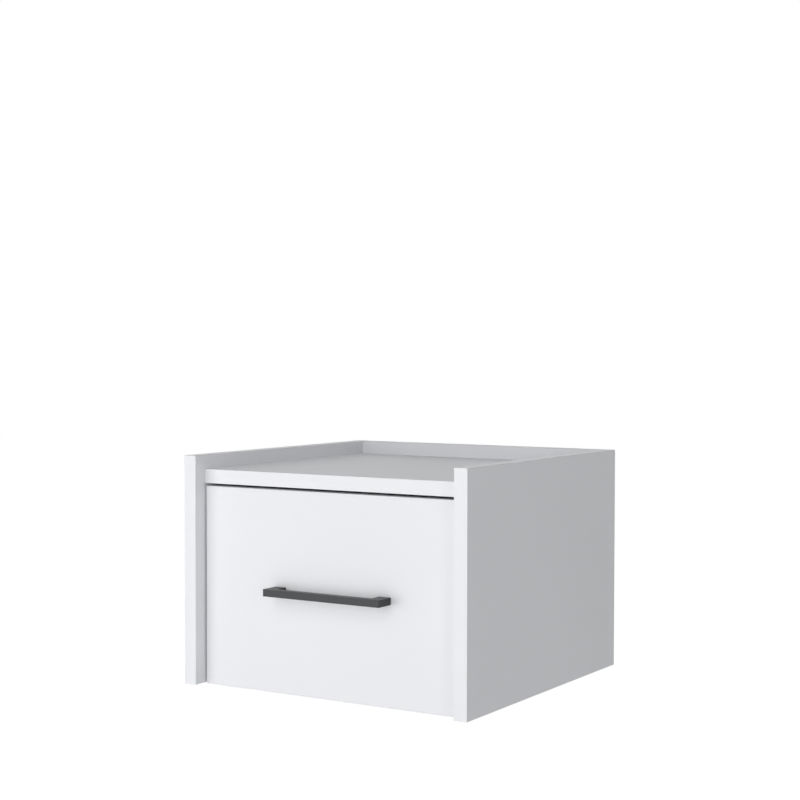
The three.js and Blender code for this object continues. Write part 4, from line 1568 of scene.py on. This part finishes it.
case_bolts = bolt_set(
    "finished_case_cam_bolts", "case", nodes_ending("_cam_bolt", without="drawer"),
    into_side_panel,
)
drawer_bolts = bolt_set(
    "finished_drawer_cam_bolts", "drawer",
    nodes_ending("drawer_left_cam_bolt", "drawer_right_cam_bolt"),
    lambda node: INWARD["front"],
)
print("bolts:", len(case_bolts.data.polygons), "and", len(drawer_bolts.data.polygons), "faces")

# %% [markdown]
# Dowels are beech, fluted so that glue and air can escape, with a small chamfer at each end. The
# grain runs along them, with short darker flecks.

# %% Dowels
BEECH_PALE = (0.66, 0.47, 0.30, 1.0)
BEECH_DARK = (0.47, 0.30, 0.17, 1.0)
BEECH_FLECK = (0.33, 0.19, 0.10, 1.0)
BEECH_ROUGHNESS = (0.72, 0.84)
BEECH_STRETCH = (90.0, 1100.0, 1100.0)
FLECK_STRETCH = (420.0, 2600.0, 2600.0)
BEECH_HEIGHT = 0.08 * MM
FLECK_START, FLECK_FADE, FLECK_SHARE = 0.63, 0.06, 0.6
DOWEL_SIDES = 48
DOWEL_CHAMFER = 0.8 * MM
DOWEL_ROLL_STEP = 11.0  # degrees
FLUTE_DEPTH_SHARE = 0.06


def beech_finish():
    material, net, shader = new_finish("fluted_beech")
    grain = noise(net, own_place(net, BEECH_STRETCH), detail=4.0)
    spots = noise(net, own_place(net, FLECK_STRETCH))
    flecks = raised_step(spots, FLECK_START, FLECK_FADE)
    wood = blended(net, grain, BEECH_PALE, BEECH_DARK)
    net.feed(shader, {
        "Base Color": blended(net, flecks * FLECK_SHARE, wood, BEECH_FLECK),
        "Roughness": between(BEECH_ROUGHNESS, grain),
        "Normal": bump(net, grain, BEECH_HEIGHT, strength=0.6),
    })
    return material


beech = beech_finish()


def dowel_set(name, body, nodes, direction_of):
    low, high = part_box(nodes[0])
    size = sorted(high - low)
    length, radius = size[2], size[1] / 2
    tip = radius - DOWEL_CHAMFER
    pattern = turned(
        f"{name}_pattern", beech,
        [
            (0.0, 0.0), (0.0, tip), (DOWEL_CHAMFER, radius),
            (length - DOWEL_CHAMFER, radius), (length, tip), (length, 0.0),
        ],
        sides=DOWEL_SIDES, flute_depth=FLUTE_DEPTH_SHARE,
    )
    placed = rolled_places(nodes, direction_of, first=0.0, step=DOWEL_ROLL_STEP)
    piece = fitting_set(name, pattern, beech, body, "beech_dowel", placed)
    retire(pattern)
    return piece


case_dowels = dowel_set(
    "finished_case_dowels", "case", nodes_ending("_dowel", without="drawer"), into_side_panel,
)
drawer_dowels = dowel_set(
    "finished_drawer_dowels", "drawer", nodes_ending("drawer_left_dowel", "drawer_right_dowel"),
    lambda node: INWARD["front"],
)
print("dowels:", len(case_dowels.data.polygons), "and", len(drawer_dowels.data.polygons), "faces")

# %% [markdown]
# Each runner has three members rolled from one strip of steel. Seen from the end, a member is a
# web with two lips that curl round the balls. Its outline is worked out from the centre line of
# the strip: half the sheet to either side, mitred where the line bends. The numbers are the CAD
# model's own: the ball, the running gap and the sheet fix where every bend lies.

# %% Runner sizes
SHEET = 1.2 * MM
BEND_RADIUS = 1.3 * MM
BALL_RADIUS = 1.6 * MM
RUN_GAP = 0.3 * MM
RACE_FLAT = 1.72 * MM
RACE_TILT = 49.0  # degrees, from one row of balls down to the next
CABINET_LIP = 5.0
MIDDLE_LIP = 45.0
DRAWER_LIP = -150.0
CAGE_SHEET = 0.6 * MM
CAGE_BEND = 0.8 * MM
DEGREES_PER_STEP = 9.0

cabinet_low, cabinet_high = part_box("right_runner_cabinet_member")
HALF_HEIGHT = (cabinet_high.z - cabinet_low.z) / 2
RUNNER_LINE = (cabinet_high.z + cabinet_low.z) / 2
RACE_RADIUS = BALL_RADIUS + RUN_GAP + SHEET / 2
MIDDLE_WEB = SHEET + RUNNER_HEAD_HEIGHT + RUN_GAP + CAGE_SHEET + RUN_GAP + SHEET / 2
OUTER_BALL = Vector((MIDDLE_WEB + BEND_RADIUS, HALF_HEIGHT - SHEET / 2 - RACE_RADIUS))
TILT = math.radians(RACE_TILT)
INNER_BALL = OUTER_BALL + 2 * RACE_RADIUS * Vector((math.cos(TILT), -math.sin(TILT)))
DRAWER_WEB = INNER_BALL.x + RACE_FLAT + BEND_RADIUS
print("runner thickness:", round((DRAWER_WEB + SHEET / 2) / MM, 2), "mm")


# %% Runner sections
def strip_arc(centre, radius, start, end):
    """Points of a bend, without its first, which ends the stretch before it."""
    steps = math.ceil(abs(end - start) / DEGREES_PER_STEP)
    return corner_arc(centre, radius, start, end, steps)[1:]


def strip_outline(upper_half, thickness):
    """The outline of a bent strip from the centre line of its upper half."""
    line = [Vector((point.x, -point.y)) for point in reversed(upper_half)] + upper_half
    first, second = [], []
    for i, point in enumerate(line):
        arrive = (point - line[i - 1]).normalized() if i > 0 else None
        leave = (line[i + 1] - point).normalized() if i < len(line) - 1 else None
        arrive, leave = arrive or leave, leave or arrive
        along = (arrive + leave).normalized()
        side = Vector((-along.y, along.x)) * (thickness / 2 / along.dot(arrive))
        first.append(point + side)
        second.append(point - side)
    return first + second[::-1]


def cabinet_section():
    bend = Vector((SHEET / 2 + BEND_RADIUS, HALF_HEIGHT - SHEET / 2 - BEND_RADIUS))
    return strip_outline([
        Vector((SHEET / 2, bend.y)),
        *strip_arc(bend, BEND_RADIUS, 180, 90),
        OUTER_BALL + Vector((0, RACE_RADIUS)),
        *strip_arc(OUTER_BALL, RACE_RADIUS, 90, CABINET_LIP),
    ], SHEET)


def middle_section():
    bend = OUTER_BALL - Vector((0, RACE_RADIUS + BEND_RADIUS))
    return strip_outline([
        Vector((MIDDLE_WEB, bend.y)),
        *strip_arc(bend, BEND_RADIUS, 180, 90),
        *strip_arc(OUTER_BALL, RACE_RADIUS, -90, -RACE_TILT),
        *strip_arc(INNER_BALL, RACE_RADIUS, 180 - RACE_TILT, MIDDLE_LIP),
    ], SHEET)


def drawer_section():
    bend = Vector((DRAWER_WEB - BEND_RADIUS, INNER_BALL.y - RACE_RADIUS - BEND_RADIUS))
    return strip_outline([
        Vector((DRAWER_WEB, bend.y)),
        *strip_arc(bend, BEND_RADIUS, 0, 90),
        INNER_BALL - Vector((0, RACE_RADIUS)),
        *strip_arc(INNER_BALL, RACE_RADIUS, -90, DRAWER_LIP),
    ], SHEET)


def cage_section(web, ball):
    bend = Vector((web + CAGE_BEND, ball.y - CAGE_BEND))
    return strip_outline([
        Vector((web, bend.y)),
        *strip_arc(bend, CAGE_BEND, 180, 90),
        Vector((ball.x + BALL_RADIUS - RUN_GAP, ball.y)),
    ], CAGE_SHEET)


# %% [markdown]
# A rolled member is its section drawn along a straight line, which is what Curve to Mesh does. A
# cage is drawn the same way. Then a row of round pockets is cut in its two flanges, and the same
# points that place the pockets place the balls.

# %% Rolled strip trees
STRIP_INPUTS = {
    "Section": "Object", "Rear end": "Vector", "Front end": "Vector", "Finish": "Material",
}
POCKET_GAP = 0.04 * MM
POCKET_SIDES = 32
PUNCH_LENGTH = 4 * CAGE_SHEET
BALL_SUBDIVISIONS = 4


def rolled_strip(net, given):
    """The closed strip: a section curve along a line from the rear end to the front end."""
    line = net.add("GeometryNodeCurvePrimitiveLine", {"mode": "POINTS"}, {
        "Start": given.output("Rear end"), "End": given.output("Front end"),
    })
    section = net.add("GeometryNodeMeshToCurve", None, {
        "Mesh": geometry_of(net, given, "Section"),
    })
    return net.add("GeometryNodeCurveToMesh", None, {
        "Curve": line, "Profile Curve": section, "Fill Caps": True,
    })


def member_tree():
    net, given = shape_tree("rolled_member", STRIP_INPUTS)
    give_out(net, rolled_strip(net, given), given.output("Finish"))
    return net


def cage_tree():
    net, given = shape_tree("ball_cage", STRIP_INPUTS | {
        "Ball places": "Object", "Ball finish": "Material",
    })
    spots = geometry_of(net, given, "Ball places")
    punch = net.add("GeometryNodeMeshCylinder", None, {
        "Vertices": POCKET_SIDES, "Radius": BALL_RADIUS + POCKET_GAP, "Depth": PUNCH_LENGTH,
    })
    punches = net.add("GeometryNodeRealizeInstances", None, {
        "Geometry": net.add("GeometryNodeInstanceOnPoints", None, {
            "Points": spots, "Instance": punch,
        }),
    })
    settings = {"operation": "DIFFERENCE", "solver": "EXACT"}
    pierced = net.add("GeometryNodeMeshBoolean", settings, {
        0: rolled_strip(net, given), 1: punches,
    })
    strip = net.add("GeometryNodeSetMaterial", None, {
        "Geometry": pierced, "Material": given.output("Finish"),
    })
    ball = net.add("GeometryNodeMeshIcoSphere", None, {
        "Radius": BALL_RADIUS, "Subdivisions": BALL_SUBDIVISIONS,
    })
    ball = net.add("GeometryNodeSetMaterial", None, {
        "Geometry": ball, "Material": given.output("Ball finish"),
    })
    balls = net.add("GeometryNodeInstanceOnPoints", None, {"Points": spots, "Instance": ball})
    both = net.add("GeometryNodeJoinGeometry")
    for part in (strip, balls):
        net.feed(both.socket.node, {0: part})
    whole = net.add("GeometryNodeRealizeInstances", None, {"Geometry": both})
    net.add("NodeGroupOutput", None, {"Geometry": whole})
    return net


MEMBER = member_tree()
CAGE = cage_tree()
print("strips:", len(MEMBER.tree.nodes), "nodes, cages:", len(CAGE.tree.nodes), "nodes")


# %% Runner frame
def runner_point(side, u, v, y):
    """A point of a runner from its distance off the panel and from its centre line."""
    inward = INWARD[side].x
    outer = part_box(f"{side}_runner_cabinet_member")[0 if side == "left" else 1].x
    return Vector((outer + inward * u, y, RUNNER_LINE + v))


def section_guide(side, outline):
    """The section as a closed line. The line to the front turns X round, so left is mirrored."""
    turn = -INWARD[side].x
    points = [Vector((turn * point.x, point.y, 0)) for point in outline]
    edges = [(i, (i + 1) % len(points)) for i in range(len(points))]
    return guide("section", points, edges)


def drawn_strip(tree, name, side, node, outline, **more):
    """A strip with a section, as long as its CAD node."""
    low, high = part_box(node)
    section = section_guide(side, outline)
    piece = grow(
        tree, name, Section=section, Rear_end=runner_point(side, 0, 0, high.y),
        Front_end=runner_point(side, 0, 0, low.y), **more,
    )
    retire(section)
    return piece


# %% [markdown]
# The holes of a member: two for its screws, and two slots that let the runner be set before the
# screws go in, one across and one along. The middle member has two wide holes that a screwdriver
# passes, and the cabinet member a tab at its rear end, bent up to stop the drawer.

# %% Runner members
ACCESS_RADIUS = 5.0 * MM
SLOT_RADIUS = 2.2 * MM
SLOT_LENGTH = 8.0 * MM
SLOT_STEP = 32.0 * MM  # from a screw inwards to the next slot
STOP_WIDTH = 14.0 * MM
STOP_REACH = 9.5 * MM
STOP_CORNER = 1.5 * MM
STOP_CORNER_STEPS = 5


def screw_line(side, end):
    low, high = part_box(f"{side}_{end}_runner_screw")
    return (low.y + high.y) / 2


def web_bore(cutter, side, u, v, y, radius):
    """A hole through a web whose middle is at a distance off the panel."""
    start, end = sorted(runner_point(side, u + depth, v, y).x for depth in (-SHEET, SHEET))
    add_bore(cutter, 0, runner_point(side, u, v, y), radius, start, end)


def web_slot(cutter, side, u, y, across):
    """A slot with round ends, from three cutting shapes that overlap."""
    half = SLOT_LENGTH / 2 - SLOT_RADIUS
    for sign in (-1, 1):
        v, shift = (sign * half, 0) if across else (0, sign * half)
        web_bore(cutter, side, u, v, y + shift, SLOT_RADIUS)
    v, shift = (half, SLOT_RADIUS) if across else (SLOT_RADIUS, half)
    corners = [
        runner_point(side, u + sign * SHEET, sign * v, y + sign * shift) for sign in (-1, 1)
    ]
    low, high = (Vector([pick(pair) for pair in zip(*corners)]) for pick in (min, max))
    add_block(cutter, low, high)


def screwed_web(cutter, side, u):
    rear, front = screw_line(side, "rear"), screw_line(side, "front")
    for y in (rear, front):
        web_bore(cutter, side, u, 0, y, SCREW_BORE)
    web_slot(cutter, side, u, rear - SLOT_STEP, True)
    web_slot(cutter, side, u, front + SLOT_STEP, False)


def add_stop(piece, side):
    """Joins the rear stop tab, with rounded upper corners, to the cabinet member."""
    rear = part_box(f"{side}_runner_cabinet_member")[1].y
    half, r = STOP_WIDTH / 2, STOP_CORNER
    rim = [Vector((SHEET / 2, -half)), Vector((STOP_REACH - r, -half))]
    rim += corner_arc((STOP_REACH - r, r - half), r, -90, 0, STOP_CORNER_STEPS)[1:]
    rim += corner_arc((STOP_REACH - r, half - r), r, 0, 90, STOP_CORNER_STEPS)
    rim += [Vector((SHEET / 2, half))]
    rim = [runner_point(side, point.x, point.y, rear) for point in rim]
    tab = bmesh.new()
    add_prism(tab, rim, (0, -SHEET, 0))
    combine(piece, mesh_object("stop_tab", tab, [rolled_zinc]), "UNION")


def make_member(side, kind, outline, web, body):
    node = f"{side}_runner_{kind}_member"
    name = f"finished_{node}"
    piece = drawn_strip(MEMBER, name, side, node, outline, Finish=rolled_zinc)
    if kind == "cabinet":
        add_stop(piece, side)
    cutter = bmesh.new()
    if kind == "middle":
        for end in ("rear", "front"):
            web_bore(cutter, side, web, 0, screw_line(side, end), ACCESS_RADIUS)
    else:
        screwed_web(cutter, side, web)
    cut_out(piece, cutter, rolled_zinc)
    smooth_flat_faces(piece)
    return finished(piece, body, "zinc_plate", node)


for side in ("left", "right"):
    members = [
        make_member(side, "cabinet", cabinet_section(), SHEET / 2, "case"),
        make_member(side, "middle", middle_section(), MIDDLE_WEB, f"{side}_runner_middle"),
        make_member(side, "drawer", drawer_section(), DRAWER_WEB, "drawer"),
    ]
    for piece in members:
        print(piece.name, len(piece.data.polygons), "faces")

# %% [markdown]
# A cage keeps its balls apart. It isn't fixed to anything and rolls along at a share of the
# drawer's travel, so each cage with its ten balls is one piece on its own body.

# %% Ball cages
BALLS_PER_ROW = 5


def make_cage(side, kind, web, ball):
    node = f"{side}_runner_{kind}_ball_cage"
    low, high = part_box(node)
    pitch = (high.y - low.y) / BALLS_PER_ROW
    spots = guide("ball_places", [
        runner_point(side, ball.x, sign * ball.y, low.y + (i + 0.5) * pitch)
        for sign in (-1, 1) for i in range(BALLS_PER_ROW)
    ])
    cage = drawn_strip(
        CAGE, f"finished_{node}", side, node, cage_section(web, ball),
        Ball_places=spots, Finish=cage_steel, Ball_finish=ball_steel,
    )
    retire(spots)
    smooth_flat_faces(cage)
    return finished(cage, f"{side}_{kind}_cage", "ball_steel", node)


OUTER_CAGE_WEB = MIDDLE_WEB - SHEET / 2 - RUN_GAP - CAGE_SHEET / 2
INNER_CAGE_WEB = MIDDLE_WEB + SHEET / 2 + RUN_GAP + CAGE_SHEET / 2
for side in ("left", "right"):
    for cage in (
        make_cage(side, "outer", OUTER_CAGE_WEB, OUTER_BALL),
        make_cage(side, "inner", INNER_CAGE_WEB, INNER_BALL),
    ):
        print(cage.name, len(cage.data.polygons), "faces")
